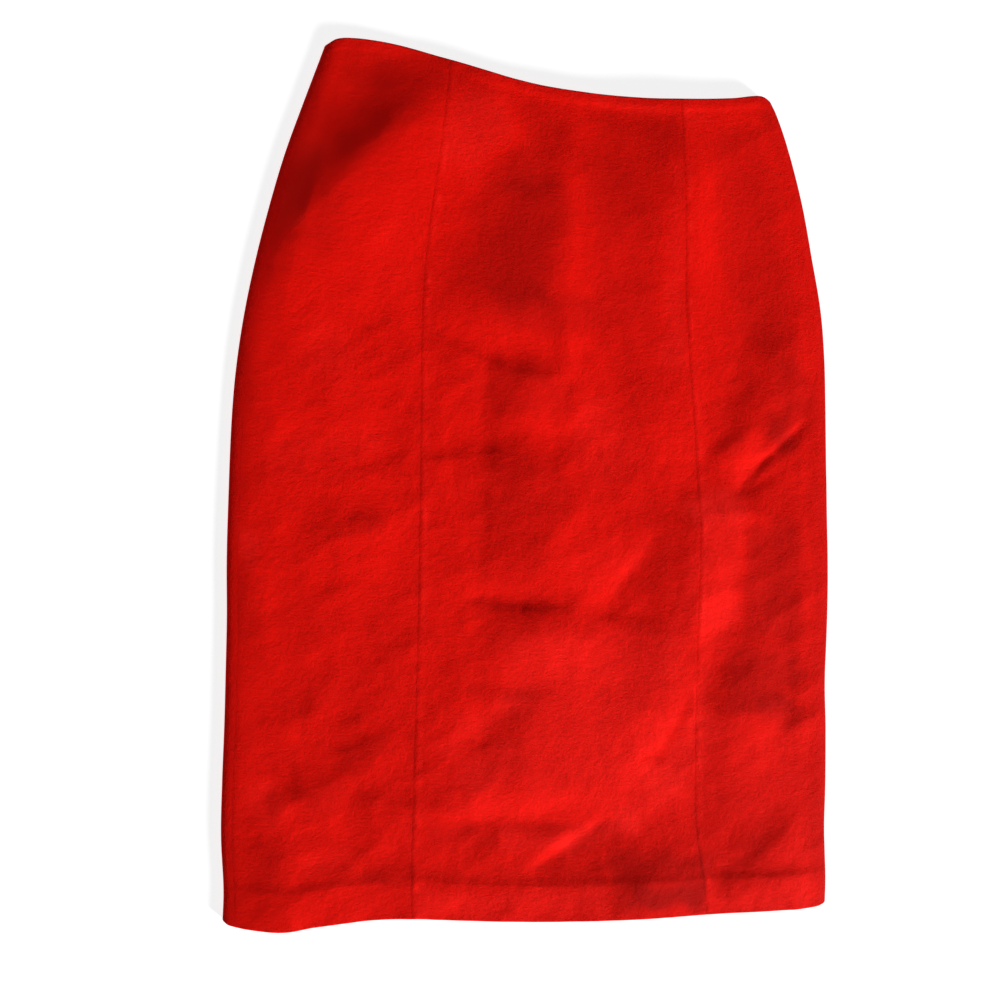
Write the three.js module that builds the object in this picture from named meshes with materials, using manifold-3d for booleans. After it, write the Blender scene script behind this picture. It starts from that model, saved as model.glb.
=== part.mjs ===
// A pencil skirt lying flat on a table with its front up, modelled in millimetres with +Z up.
// The origin is on the table under the middle of the skirt, +Y points to the waist and +X to the right.
// The cloth is a closed wall that follows the laid tube: flat underneath, rolled over at both sides, and
// gently creased on top. Each cut panel is its own mesh, a small gap apart from its neighbours at the seams.
import * as THREE from 'three';
import { mergeVertices } from 'three/addons/utils/BufferGeometryUtils.js';
import Module from 'manifold-3d';

// Cloth and lay
const CLOTH = 1.2;
const SEAM_GAP = 0.3;
const FOLD_HEIGHT = 6.2;
const MID_HEIGHT = FOLD_HEIGHT / 2;
const TOP_TURN = 16;
const UNDER_TURN = 4;
const LAY_BLEND = 30;
const LAY_SINK = 0.5;
const LAYER_GAP = 0.7;
const SETTLE = 0.5;

// Turned edges: the hem is turned up and the waist edge turned in, so the wall is thicker there
const HEM_Y = -326;
const WAIST_Y = 318;
const HEM_TURN_UP = 29;
const WAIST_TURN_IN = 9;
const TURNED_CLOTH = 2.3;
const TURN_STEP = 1;
const LIP = 0.8;
const EDGE_PLATEAU = 36;
const EDGE_BLEND = 150;
const BACK_RETREAT = 1.5;

// Side seams lie just inside the folds, because the skirt is laid turned a little to the right
const SIDE_SEAM_INSET = 8;

// Concealed zip in the centre back seam
const ZIP_NECK_Y = 295;
const ZIP_BOTTOM_Y = 112;
const ZIP_TAPE_TOP_Y = 298.4;
const TAPE_WIDTH = 11;
const TAPE_THICK = 0.4;
const COIL_WIDTH = 2.15;
const COIL_THICK = 1.2;
const COIL_INSET = 4;
const ROW_MARGIN = 1.5;
const RECESS_DEPTH = 2.35;
const RECESS_HALF = 13;
const RECESS_RAMP = 28;
const RECESS_END_Y = 264;
const RECESS_START_Y = 230;
const NECK_THICK = 1.0;
const NECK_LENGTH = 3.8;
const PARTING = 0.75;
const PARTING_REACH = 6;
const PULL_LENGTH = 23;
const PULL_WIDTH = 4.6;
const PULL_THICK = 0.8;
const HINGE_Z = 1.45;
const SLIDER_HALF_WIDTH = 3.6;
const SLIDER_REACH = 7;
const PLATE_THICK = 0.6;
const FLANGE_CLEARANCE = 0.5;
const NECK_LOW = 0.3;
const ARCH_HALF_LENGTH = 1.2;
const ARCH_LOW = 0.85;
const ARCH_HIGH = 2.05;
const HEAD_HALF_WIDTH = 1.84;
const HEAD_TOP = 0.3;
const HEAD_LOW = -4;
const EYE_HALF_WIDTH = 0.85;
const EYE_TOP = -0.3;
const EYE_LOW = -2.9;

// The outline's sides: where the left and right folds lie at each height
const SIDES = [
  { y: -330, left: -233.6, right: 243.6 },
  { y: -300, left: -233.8, right: 243.2 },
  { y: -260, left: -237.4, right: 240.2 },
  { y: -220, left: -238.4, right: 239.2 },
  { y: -180, left: -238.7, right: 237.3 },
  { y: -140, left: -239.5, right: 234.6 },
  { y: -100, left: -240.5, right: 234.3 },
  { y: -60, left: -242.4, right: 233.2 },
  { y: -20, left: -243.2, right: 230.7 },
  { y: 40, left: -243.6, right: 226.6 },
  { y: 80, left: -242.2, right: 224.1 },
  { y: 120, left: -238.3, right: 221.1 },
  { y: 160, left: -232.1, right: 215.6 },
  { y: 200, left: -224.1, right: 206.1 },
  { y: 240, left: -214.6, right: 196.1 },
  { y: 280, left: -202.6, right: 183.1 },
  { y: 310, left: -193.2, right: 170.6 },
  { y: 330, left: -187.0, right: 158.6 },
];

// Waist and hem lines of the front, each a height along the table for a place across it
const WAIST_LINE = [
  { x: -200, y: 318.5 },
  { x: -189, y: 323.2 },
  { x: -181, y: 328.0 },
  { x: -168, y: 329.8 },
  { x: -148, y: 329.7 },
  { x: -128, y: 327.8 },
  { x: -90, y: 321.2 },
  { x: -50, y: 314.3 },
  { x: -10, y: 310.8 },
  { x: 50, y: 311.4 },
  { x: 90, y: 314.8 },
  { x: 130, y: 320.6 },
  { x: 148, y: 324.8 },
  { x: 156, y: 325.4 },
  { x: 164, y: 322.4 },
  { x: 180, y: 316.0 },
];
const HEM_LINE = [
  { x: -245, y: -316.0 },
  { x: -234, y: -321.4 },
  { x: -229, y: -324.6 },
  { x: -210, y: -328.4 },
  { x: -190, y: -330.0 },
  { x: -165, y: -327.0 },
  { x: -110, y: -323.0 },
  { x: -50, y: -326.4 },
  { x: 20, y: -329.3 },
  { x: 110, y: -328.0 },
  { x: 190, y: -326.0 },
  { x: 234, y: -323.8 },
  { x: 240, y: -322.4 },
  { x: 250, y: -318.0 },
];

// Shaped seams of the front, and the centre back seam underneath
const SEAMS = [
  { y: -330, left: -94.8, right: 140.5, back: -12.0 },
  { y: -300, left: -96.8, right: 135.5, back: -12.5 },
  { y: -250, left: -98.2, right: 127.4, back: -13.5 },
  { y: -200, left: -99.0, right: 124.2, back: -14.5 },
  { y: -100, left: -101.0, right: 120.4, back: -16.5 },
  { y: 0, left: -104.0, right: 117.3, back: -17.5 },
  { y: 100, left: -107.9, right: 105.2, back: -17.5 },
  { y: 150, left: -108.9, right: 99.4, back: -17.0 },
  { y: 200, left: -106.6, right: 95.4, back: -16.5 },
  { y: 250, left: -101.8, right: 91.5, back: -16.0 },
  { y: 330, left: -95.5, right: 85.0, back: -16.0 },
];

// Largest folds and swells of the top layer. Each runs from its start to its end, bowed to its left hand side
// where its row has a bow, and is a spindle: highest at mid length, with its flanks' widths on its left and
// right hand sides, and gone a fade past both ends. A negative height is a trough.
const FOLDS = [
  { name: 'corner slope', x0: -66, y0: 318, x1: -222, y1: 172, height: 7.6, left: 110, right: 32, fade: 60 },
  { name: 'centre rise', x0: -2, y0: 134, x1: -3, y1: 300, height: 5.6, left: 60, right: 54, fade: 40 },
  { name: 'right rise', x0: 93, y0: 216, x1: 90, y1: 314, height: 5.0, left: 50, right: 80, fade: 50 },
  { name: 'right fall', x0: 103, y0: 84, x1: 98, y1: 260, height: 3.0, left: 34, right: 30, fade: 44 },
  { name: 'upper press', x0: -90, y0: 137, x1: 4, y1: 143, height: 3.6, left: 50, right: 40, fade: 24 },
  { name: 'upper step', x0: -52, y0: 89, x1: -8, y1: 87, height: 2.4, left: 9, right: 44, fade: 14 },
  { name: 'apron shoulder', x0: 4, y0: 54, x1: 4, y1: 134, height: 3.0, left: 14, right: 38, fade: 20 },
  { name: 'hip dent', x0: 146, y0: 116, x1: 204, y1: 104, height: 3.4, left: 24, right: 36, fade: 18 },
  { name: 'right flank', x0: 208, y0: 110, x1: 188, y1: 250, height: 3.4, left: 50, right: 18, fade: 50 },
  { name: 'pucker trough', x0: 138, y0: 0, x1: 182, y1: 56, height: -3.2, left: 13, right: 9, fade: 12 },
  { name: 'pucker shoulder', x0: 126, y0: 18, x1: 160, y1: 60, height: 1.8, left: 9, right: 14, fade: 12 },
  { name: 'pucker fan', x0: 150, y0: 2, x1: 192, y1: 26, height: -2.0, left: 9, right: 9, fade: 10 },
  { name: 'centre block', x0: 0, y0: -70, x1: 0, y1: 22, height: 3.8, left: 46, right: 74, fade: 26 },
  { name: 'left wrinkle', x0: -182, y0: -38, x1: -124, y1: -28, height: 1.8, left: 14, right: 24, fade: 16 },
  { name: 'middle trough', x0: -64, y0: -79, x1: 24, y1: -82, height: -2.2, left: 16, right: 8, fade: 14 },
  { name: 'wedge valley', x0: 44, y0: -86, x1: 96, y1: -20, height: -2.8, left: 9, right: 20, fade: 12 },
  { name: 'seam fold', x0: 122, y0: -108, x1: 118, y1: 2, height: 6.0, left: 28, right: 30, fade: 20 },
  { name: 'block side', x0: 213, y0: -176, x1: 208, y1: -12, height: 4.2, left: 46, right: 14, fade: 24 },
  { name: 'apron ridge', x0: -44, y0: -118, x1: 42, y1: -114, height: 3.4, left: 22, right: 40, fade: 20 },
  { name: 'arc trough', x0: -12, y0: -158, x1: -84, y1: -208, bow: -8, height: -2.6, left: 12, right: 14, fade: 12 },
  { name: 'long fold crest', x0: 112, y0: -92, x1: 30, y1: -222, bow: 12, height: 5.6, left: 24, right: 48, fade: 40 },
  { name: 'long fold trough', x0: 138, y0: -122, x1: 60, y1: -236, bow: 8, height: -2.6, left: 16, right: 16, fade: 18 },
  { name: 'low press', x0: -62, y0: -249, x1: 58, y1: -254, height: -2.6, left: 18, right: 9, fade: 16 },
  { name: 'block ridge', x0: 134, y0: -165, x1: 218, y1: -168, height: 4.6, left: 62, right: 46, fade: 20 },
  { name: 'hem crease', x0: 58, y0: -251, x1: -16, y1: -296, height: -3.0, left: 28, right: 6, fade: 10 },
  { name: 'hem edge', x0: -34, y0: -300, x1: 140, y1: -301, height: 4.6, left: 26, right: 50, fade: 30 },
  { name: 'hem bowl', x0: 56, y0: -299, x1: 122, y1: -300, height: 2.6, left: 18, right: 34, fade: 20 },
  { name: 'hem corner', x0: 154, y0: -312, x1: 214, y1: -256, height: 3.8, left: 14, right: 56, fade: 12 },
  { name: 'left crease', x0: -156, y0: -202, x1: -108, y1: -188, height: 2.2, left: 11, right: 28, fade: 14 },
  { name: 'left low', x0: -194, y0: -234, x1: -156, y1: -224, height: 2.0, left: 13, right: 22, fade: 14 },
  { name: 'left hem', x0: -190, y0: -334, x1: -196, y1: -246, height: 2.8, left: 18, right: 28, fade: 24 },
];
const CREST_ROUND = 5;
const END_NARROWING = 0.45;
const TAPER_POWER = 1.5;
const FLANK_POWER = 1.4;

// Value of one column of a table at a place between its rows, by a smooth curve through the rows
function column(rows, at, key, place) {
  let i = 0;
  while (i < rows.length - 2 && place > rows[i + 1][at]) i += 1;
  const slope = (k) => {
    const a = rows[Math.max(0, k - 1)];
    const b = rows[Math.min(rows.length - 1, k + 1)];
    return (b[key] - a[key]) / (b[at] - a[at]);
  };
  const span = rows[i + 1][at] - rows[i][at];
  const t = THREE.MathUtils.clamp((place - rows[i][at]) / span, 0, 1);
  const t2 = t * t;
  const t3 = t2 * t;
  return (2 * t3 - 3 * t2 + 1) * rows[i][key] + (3 * t2 - 2 * t3) * rows[i + 1][key]
    + span * ((t3 - 2 * t2 + t) * slope(i) + (t3 - t2) * slope(i + 1));
}

const leftFold = (y) => column(SIDES, 'y', 'left', y);
const rightFold = (y) => column(SIDES, 'y', 'right', y);
const seamAt = (name, y) => column(SEAMS, 'y', name, y);
const smooth = (from, to, value) => THREE.MathUtils.smoothstep(value, from, to);

// How much of the waist line's and the hem line's shape a row at this height takes up
const nearWaist = (y) => smooth(WAIST_Y - EDGE_BLEND, WAIST_Y - EDGE_PLATEAU, y);
const nearHem = (y) => 1 - smooth(HEM_Y + EDGE_PLATEAU, HEM_Y + EDGE_BLEND, y);

// Height along the table of a row at a place across it
function rowY(row, x, under) {
  const waist = column(WAIST_LINE, 'x', 'y', x) - WAIST_Y;
  const hem = column(HEM_LINE, 'x', 'y', x) - HEM_Y;
  const inside = Math.min(1, (x - row.left) / LAY_BLEND, (row.right - x) / LAY_BLEND);
  const retreat = under ? BACK_RETREAT * Math.max(0, inside) : 0;
  return row.y + nearWaist(row.y) * (waist - retreat) + nearHem(row.y) * (hem + retreat);
}

// A row runs round the tube at one distance between hem and waist, and knows where its folds lie
function makeRow(y) {
  const row = { y, left: leftFold(y), right: rightFold(y) };
  for (let pass = 0; pass < 4; pass += 1) {
    row.left = leftFold(rowY(row, row.left, false));
    row.right = rightFold(rowY(row, row.right, false));
  }
  return row;
}

function foldHeight(fold, x, y) {
  const along = new THREE.Vector2(fold.x1 - fold.x0, fold.y1 - fold.y0);
  const length = along.length();
  along.divideScalar(length);
  const s = (x - fold.x0) * along.x + (y - fold.y0) * along.y;
  const part = THREE.MathUtils.clamp(s / length, 0, 1);
  const bow = (fold.bow ?? 0) * 4 * part * (1 - part);
  const d = (y - fold.y0) * along.x - (x - fold.x0) * along.y - bow;
  const run = (s - length / 2) / (length / 2 + fold.fade);
  const body = Math.max(0, 1 - run * run);
  const width = (d > 0 ? fold.left : fold.right) * (END_NARROWING + (1 - END_NARROWING) * body);
  const across = (Math.hypot(d, CREST_ROUND) - CREST_ROUND) / width;
  return fold.height * body ** TAPER_POWER * Math.exp(-(across ** FLANK_POWER));
}

// Height of the top layer's outer face away from the folds, never so low that it would meet the back
function layHeight(row, x, y) {
  const inside = smooth(0, LAY_BLEND, Math.min(x - row.left, row.right - x));
  const relief = FOLDS.reduce((sum, fold) => sum + foldHeight(fold, x, y), 0);
  const height = FOLD_HEIGHT + inside * (relief - LAY_SINK);
  const lowest = 2 * wallThickness(row.y) + LAYER_GAP;
  return lowest + SETTLE * Math.log(1 + Math.exp((height - lowest) / SETTLE));
}

const quarter = (d, reach) => (d >= reach ? 1 : Math.sqrt(Math.max(0, 1 - (1 - d / reach) ** 2)));

function topHeight(row, x, y) {
  const d = Math.min(x - row.left, row.right - x);
  return MID_HEIGHT + (layHeight(row, x, y) - MID_HEIGHT) * quarter(d, TOP_TURN);
}

// The underside is flat on the table, apart from a shallow recess that clears the zip's pull tab
function underHeight(x, y) {
  const across = 1 - smooth(RECESS_HALF, RECESS_HALF + RECESS_RAMP, Math.abs(x - seamAt('back', y)));
  return RECESS_DEPTH * across * smooth(RECESS_START_Y, RECESS_END_Y, y);
}

// Stations say where on the way round the tube a point lies
const top = (x) => ({ on: 'top', x });
const under = (x) => ({ on: 'under', x });
const turn = (side, angle) => ({ on: 'turn', side, angle });

function stationPoint(row, station) {
  if (station.on === 'turn') {
    const angle = THREE.MathUtils.degToRad(station.angle);
    const d = (angle > 0 ? TOP_TURN : UNDER_TURN) * (1 - Math.cos(angle));
    const x = station.side === 'left' ? row.left + d : row.right - d;
    const y = rowY(row, x, angle < 0);
    const rise = angle > 0 ? layHeight(row, x, y) - MID_HEIGHT : MID_HEIGHT;
    return new THREE.Vector3(x, y, MID_HEIGHT + rise * Math.sin(angle));
  }
  const y = rowY(row, station.x, station.on === 'under');
  const z = station.on === 'top' ? topHeight(row, station.x, y) : underHeight(station.x, y);
  return new THREE.Vector3(station.x, y, z);
}

// Step a station a little way on round the tube, clockwise as seen from the hem
function nudged(station, sign) {
  if (station.on === 'turn') {
    const angle = station.angle + 2 * sign * (station.side === 'left' ? 1 : -1);
    return turn(station.side, THREE.MathUtils.clamp(angle, -90, 90));
  }
  return { on: station.on, x: station.x + sign * (station.on === 'top' ? 1 : -1) };
}

function wallThickness(y) {
  const hem = 1 - smooth(HEM_Y + HEM_TURN_UP - TURN_STEP, HEM_Y + HEM_TURN_UP + TURN_STEP, y);
  const waist = smooth(WAIST_Y - WAIST_TURN_IN - TURN_STEP, WAIST_Y - WAIST_TURN_IN + TURN_STEP, y);
  return CLOTH + (TURNED_CLOTH - CLOTH) * Math.max(hem, waist);
}

// Outer and inner point of the wall at one station of a row
function wallPoints(row, station) {
  const outer = stationPoint(row, station);
  const ahead = stationPoint(row, nudged(station, 1));
  const behind = stationPoint(row, nudged(station, -1));
  const along = new THREE.Vector2(ahead.x - behind.x, ahead.z - behind.z).normalize();
  const thick = wallThickness(row.y);
  const inner = outer.clone().add(new THREE.Vector3(along.y * thick, 0, -along.x * thick));
  return { outer, inner };
}

// Closed loop of points round the wall's section along one station, from hem to waist and back inside
function sectionLoop(rows, stationOf) {
  const pairs = rows.map((row) => wallPoints(row, stationOf(row)));
  const hem = pairs[0];
  const waist = pairs[pairs.length - 1];
  const lip = (pair, shift) => pair.outer.clone().lerp(pair.inner, 0.5).add(new THREE.Vector3(0, shift, 0));
  return [
    ...pairs.map((pair) => pair.outer),
    lip(waist, LIP),
    ...pairs.map((pair) => pair.inner).reverse(),
    lip(hem, -LIP),
  ];
}

// A closed mesh through equal section loops, with a cap at the first and the last loop
function loftGeometry(loops, rowCount) {
  const size = loops[0].length;
  const faces = [];
  const quad = (a, b, c, d) => faces.push(a, b, c, a, c, d);
  for (let k = 0; k < loops.length - 1; k += 1) {
    for (let i = 0; i < size; i += 1) {
      const next = (i + 1) % size;
      quad(k * size + i, (k + 1) * size + i, (k + 1) * size + next, k * size + next);
    }
  }
  const inner = (i) => size - 2 - i;
  const cap = [];
  for (let i = 0; i < rowCount - 1; i += 1) {
    cap.push([i, i + 1, inner(i + 1)], [i, inner(i + 1), inner(i)]);
  }
  cap.push([0, inner(0), size - 1], [rowCount - 1, rowCount, inner(rowCount - 1)]);
  const base = (loops.length - 1) * size;
  for (const [a, b, c] of cap) faces.push(a, b, c, base + a, base + c, base + b);
  return closedGeometry(loops.flat(), faces);
}

// Geometry from points and faces, with the faces turned to look outwards
function closedGeometry(points, faces) {
  const geometry = new THREE.BufferGeometry();
  const positions = points.flatMap((point) => point.toArray());
  geometry.setAttribute('position', new THREE.Float32BufferAttribute(positions, 3));
  geometry.setIndex(faces);
  if (signedVolume(geometry) < 0) geometry.setIndex([...faces].reverse());
  geometry.computeVertexNormals();
  return geometry;
}

function signedVolume(geometry) {
  const position = geometry.getAttribute('position');
  const index = geometry.getIndex();
  const corner = [new THREE.Vector3(), new THREE.Vector3(), new THREE.Vector3()];
  let volume = 0;
  for (let i = 0; i < index.count; i += 3) {
    corner.forEach((point, k) => point.fromBufferAttribute(position, index.getX(i + k)));
    volume += corner[0].dot(corner[1].clone().cross(corner[2])) / 6;
  }
  return volume;
}

// Rows from hem to waist: close at the turned edges, even between them
const FRONT_ROW_STEP = 12;
const BACK_ROW_STEP = 28;
const RECESS_ROWS = [RECESS_START_Y, 239, 247, 255, RECESS_END_Y, 284, 293, 299];
const HEM_ROW_STEP = 9;
const BESIDE_TURN = 1.5;
const ROW_CLEARANCE = 4;

function rowHeights(step, extra) {
  const turnTop = HEM_Y + HEM_TURN_UP;
  const turnLow = WAIST_Y - WAIST_TURN_IN;
  const first = turnTop + BESIDE_TURN;
  const last = turnLow - BESIDE_TURN;
  const count = Math.round((last - first) / step);
  const even = Array.from({ length: count + 1 }, (_, i) => first + ((last - first) * i) / count);
  const clear = even.filter((y) => extra.every((other) => Math.abs(other - y) > ROW_CLEARANCE));
  const hem = [HEM_Y + LIP, HEM_Y + HEM_ROW_STEP, HEM_Y + 2 * HEM_ROW_STEP, turnTop - BESIDE_TURN];
  const rim = [turnLow + BESIDE_TURN, WAIST_Y - LIP];
  return [...hem, ...clear, ...extra, ...rim].sort((a, b) => a - b);
}

// Evenly spread station places from one x to another, both ends left out
function between(from, to, count) {
  return Array.from({ length: count - 1 }, (_, i) => (row) => {
    const a = from(row);
    const b = to(row);
    return a + ((b - a) * (i + 1)) / count;
  });
}

function panel(name, rows, stations) {
  const loops = stations.map((stationOf) => sectionLoop(rows, stationOf));
  const mesh = new THREE.Mesh(loftGeometry(loops, rows.length), clothMaterial());
  mesh.name = name;
  return mesh;
}

function clothMaterial() {
  return new THREE.MeshStandardMaterial({ color: 0xc8120b, roughness: 0.85, metalness: 0 });
}

function zipMaterial() {
  return new THREE.MeshStandardMaterial({ color: 0xa50f0c, roughness: 0.7, metalness: 0 });
}

function enamelMaterial() {
  return new THREE.MeshStandardMaterial({ color: 0xb0140f, roughness: 0.35, metalness: 0.4 });
}

const HALF_GAP = SEAM_GAP / 2;
const turnOfInset = (inset) => THREE.MathUtils.radToDeg(Math.acos(1 - inset / TOP_TURN));

// Places of the seams on a row, each at the height where the row crosses it
const seamX = (name, side) => (row) => {
  const guess = seamAt(name, row.y);
  return seamAt(name, rowY(row, guess, name === 'back')) + side * HALF_GAP;
};

// The centre back seam parts a little round the slider's neck
const partingAt = (y) => PARTING * Math.exp(-(((y - ZIP_NECK_Y) / PARTING_REACH) ** 4));

function backEdge(side) {
  return (row) => {
    const x = seamAt('back', row.y);
    return x + side * (HALF_GAP + partingAt(rowY(row, x, true)));
  };
}

// Angles of the stations round the folds, from the table up to the top layer
const LEFT_TURN = [-90, -60, -30, 0, 20, 40];
const LEFT_TURN_TOP = 75;
const RIGHT_TURN = [68, 46, 24, 0, -30, -60, -90];
const SIDE_LEFT_COLUMNS = 10;
const CENTRE_COLUMNS = 19;
const SIDE_RIGHT_COLUMNS = 8;

const topStations = (places) => places.map((place) => (row) => top(place(row)));
const underStations = (places) => places.map((place) => (row) => under(place(row)));

function frontSideLeft(rows) {
  const seamTurn = turnOfInset(SIDE_SEAM_INSET + HALF_GAP);
  const start = (row) => row.left + TOP_TURN;
  const seam = seamX('left', -1);
  const stations = [
    () => turn('left', seamTurn),
    () => turn('left', LEFT_TURN_TOP),
    (row) => top(start(row)),
    ...topStations(between(start, seam, SIDE_LEFT_COLUMNS)),
    (row) => top(seam(row)),
  ];
  return panel('front_side_left', rows, stations);
}

function frontCentre(rows) {
  const from = seamX('left', 1);
  const to = seamX('right', -1);
  const stations = [
    (row) => top(from(row)),
    ...topStations(between(from, to, CENTRE_COLUMNS)),
    (row) => top(to(row)),
  ];
  return panel('front_centre', rows, stations);
}

function frontSideRight(rows) {
  const seam = seamX('right', 1);
  const end = (row) => row.right - TOP_TURN;
  const stations = [
    (row) => top(seam(row)),
    ...topStations(between(seam, end, SIDE_RIGHT_COLUMNS)),
    (row) => top(end(row)),
    ...RIGHT_TURN.map((angle) => () => turn('right', angle)),
    (row) => under(row.right - SIDE_SEAM_INSET + HALF_GAP),
  ];
  return panel('front_side_right', rows, stations);
}

// Steps across the back from the centre seam, close together over the recess
const BACK_STEPS = [6, RECESS_HALF, 20, 27, 34, RECESS_HALF + RECESS_RAMP, 75, 115, 155];

function backRight(rows) {
  const stations = [
    (row) => under(row.right - SIDE_SEAM_INSET - HALF_GAP),
    ...underStations([...BACK_STEPS].reverse().map((step) => (row) => seamAt('back', row.y) + step)),
    (row) => under(backEdge(1)(row)),
  ];
  return panel('back_right', rows, stations);
}

function backLeft(rows) {
  const seamTurn = turnOfInset(SIDE_SEAM_INSET - HALF_GAP);
  const stations = [
    (row) => under(backEdge(-1)(row)),
    ...underStations(BACK_STEPS.map((step) => (row) => seamAt('back', row.y) - step)),
    ...LEFT_TURN.map((angle) => () => turn('left', angle)),
    () => turn('left', seamTurn),
  ];
  return panel('back_left', rows, stations);
}

// Zip tapes lie on the inside of the back, along both edges of its centre seam
function insideOfBack(x, y) {
  return underHeight(x, y) + CLOTH + SEAM_GAP;
}

function stripGeometry(heights, side, near, far, lift, thick) {
  const loops = heights.map((y) => {
    const centre = seamAt('back', y);
    const a = centre + side * (near + partingAt(y));
    const b = centre + side * far;
    const z = insideOfBack(centre, y) + lift;
    return [
      new THREE.Vector3(a, y, z), new THREE.Vector3(b, y, z),
      new THREE.Vector3(b, y, z + thick), new THREE.Vector3(a, y, z + thick),
    ];
  });
  return tubeGeometry(loops);
}

// A closed mesh through loops of four points
function tubeGeometry(loops) {
  const faces = [];
  const quad = (a, b, c, d) => faces.push(a, b, c, a, c, d);
  for (let k = 0; k < loops.length - 1; k += 1) {
    for (let i = 0; i < 4; i += 1) {
      const next = (i + 1) % 4;
      quad(4 * k + i, 4 * k + next, 4 * (k + 1) + next, 4 * (k + 1) + i);
    }
  }
  const last = 4 * (loops.length - 1);
  quad(3, 2, 1, 0);
  quad(last, last + 1, last + 2, last + 3);
  return closedGeometry(loops.flat(), faces);
}

const wasm = await Module();
wasm.setup();

function solidOf(geometry) {
  const bare = geometry.clone();
  bare.deleteAttribute('normal');
  bare.deleteAttribute('uv');
  const merged = mergeVertices(bare, 1e-4);
  return new wasm.Manifold(new wasm.Mesh({
    numProp: 3,
    vertProperties: new Float32Array(merged.getAttribute('position').array),
    triVerts: new Uint32Array(merged.getIndex().array),
  }));
}

function meshOf(name, solid, material) {
  const data = solid.getMesh();
  const geometry = new THREE.BufferGeometry();
  geometry.setAttribute('position', new THREE.Float32BufferAttribute(data.vertProperties, 3));
  geometry.setIndex(Array.from(data.triVerts));
  geometry.computeVertexNormals();
  const mesh = new THREE.Mesh(geometry, material);
  mesh.name = name;
  return mesh;
}

function box(x0, x1, y0, y1, z0, z1) {
  const geometry = new THREE.BoxGeometry(x1 - x0, y1 - y0, z1 - z0);
  geometry.translate((x0 + x1) / 2, (y0 + y1) / 2, (z0 + z1) / 2);
  return solidOf(geometry);
}

function rowsWithin(heights, low, high) {
  return heights.filter((y) => y > low + ROW_MARGIN && y < high - ROW_MARGIN);
}

function zipTape(name, side, heights) {
  const tapeRows = [ZIP_BOTTOM_Y, ...rowsWithin(heights, ZIP_BOTTOM_Y, ZIP_TAPE_TOP_Y), ZIP_TAPE_TOP_Y];
  const coilStart = ZIP_BOTTOM_Y + COIL_INSET;
  const coilEnd = ZIP_NECK_Y - NECK_LENGTH / 2 - SEAM_GAP;
  const coilRows = [coilStart, ...rowsWithin(heights, coilStart, coilEnd), coilEnd];
  const coilLow = TAPE_THICK / 2;
  const tape = solidOf(stripGeometry(tapeRows, side, HALF_GAP, TAPE_WIDTH, 0, TAPE_THICK));
  const coil = solidOf(stripGeometry(coilRows, side, HALF_GAP, COIL_WIDTH, coilLow, COIL_THICK + coilLow));
  return meshOf(name, tape.add(coil), zipMaterial());
}

// The slider holds both coils, and its neck comes out through the seam as an arch for the pull tab
function zipSlider() {
  const x = seamAt('back', ZIP_NECK_Y);
  const low = ZIP_NECK_Y - SLIDER_REACH;
  const high = ZIP_NECK_Y + NECK_LENGTH / 2;
  const tapeTop = RECESS_DEPTH + CLOTH + SEAM_GAP + TAPE_THICK;
  const plateLow = tapeTop + COIL_THICK + SEAM_GAP;
  const plateHigh = plateLow + PLATE_THICK;
  const plate = box(x - SLIDER_HALF_WIDTH, x + SLIDER_HALF_WIDTH, low, high, plateLow, plateHigh);
  const flange = (side) => {
    const near = x + side * (COIL_WIDTH + FLANGE_CLEARANCE + PARTING);
    const far = x + side * SLIDER_HALF_WIDTH;
    return box(Math.min(near, far), Math.max(near, far), low, high, tapeTop + SEAM_GAP, plateHigh);
  };
  const halfNeck = NECK_THICK / 2;
  const neck = box(x - halfNeck, x + halfNeck, ZIP_NECK_Y - NECK_LENGTH / 2, high, NECK_LOW, plateHigh);
  const arch = box(
    x - NECK_THICK, x + NECK_THICK,
    ZIP_NECK_Y - ARCH_HALF_LENGTH, ZIP_NECK_Y + ARCH_HALF_LENGTH,
    ARCH_LOW, ARCH_HIGH,
  );
  const solid = plate.add(flange(-1)).add(flange(1)).add(neck).subtract(arch);
  return meshOf('zip_slider', solid, enamelMaterial());
}

// Teardrop pull tab with a square eye round the slider's arch, lying flat towards the hem
function zipPull() {
  const half = PULL_WIDTH / 2;
  const outline = new THREE.Shape();
  outline.moveTo(-HEAD_HALF_WIDTH, HEAD_TOP);
  outline.lineTo(HEAD_HALF_WIDTH, HEAD_TOP);
  outline.lineTo(HEAD_HALF_WIDTH, HEAD_LOW);
  outline.lineTo(half, -PULL_LENGTH + half);
  outline.absarc(0, -PULL_LENGTH + half, half, 0, -Math.PI, true);
  outline.lineTo(-HEAD_HALF_WIDTH, HEAD_LOW);
  outline.closePath();
  const eye = new THREE.Path();
  eye.moveTo(-EYE_HALF_WIDTH, EYE_TOP);
  eye.lineTo(-EYE_HALF_WIDTH, EYE_LOW);
  eye.lineTo(EYE_HALF_WIDTH, EYE_LOW);
  eye.lineTo(EYE_HALF_WIDTH, EYE_TOP);
  eye.closePath();
  outline.holes.push(eye);
  const settings = { depth: PULL_THICK, bevelEnabled: false, curveSegments: 8 };
  const geometry = new THREE.ExtrudeGeometry(outline, settings);
  geometry.translate(0, 0, -PULL_THICK / 2);
  const mesh = meshOf('zip_pull', solidOf(geometry), enamelMaterial());
  mesh.position.set(seamAt('back', ZIP_NECK_Y), ZIP_NECK_Y, HINGE_Z);
  return mesh;
}

const frontRows = rowHeights(FRONT_ROW_STEP, []).map(makeRow);
const backRows = rowHeights(BACK_ROW_STEP, RECESS_ROWS).map(makeRow);
const zipHeights = backRows.map((row) => rowY(row, seamAt('back', row.y), true));

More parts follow.
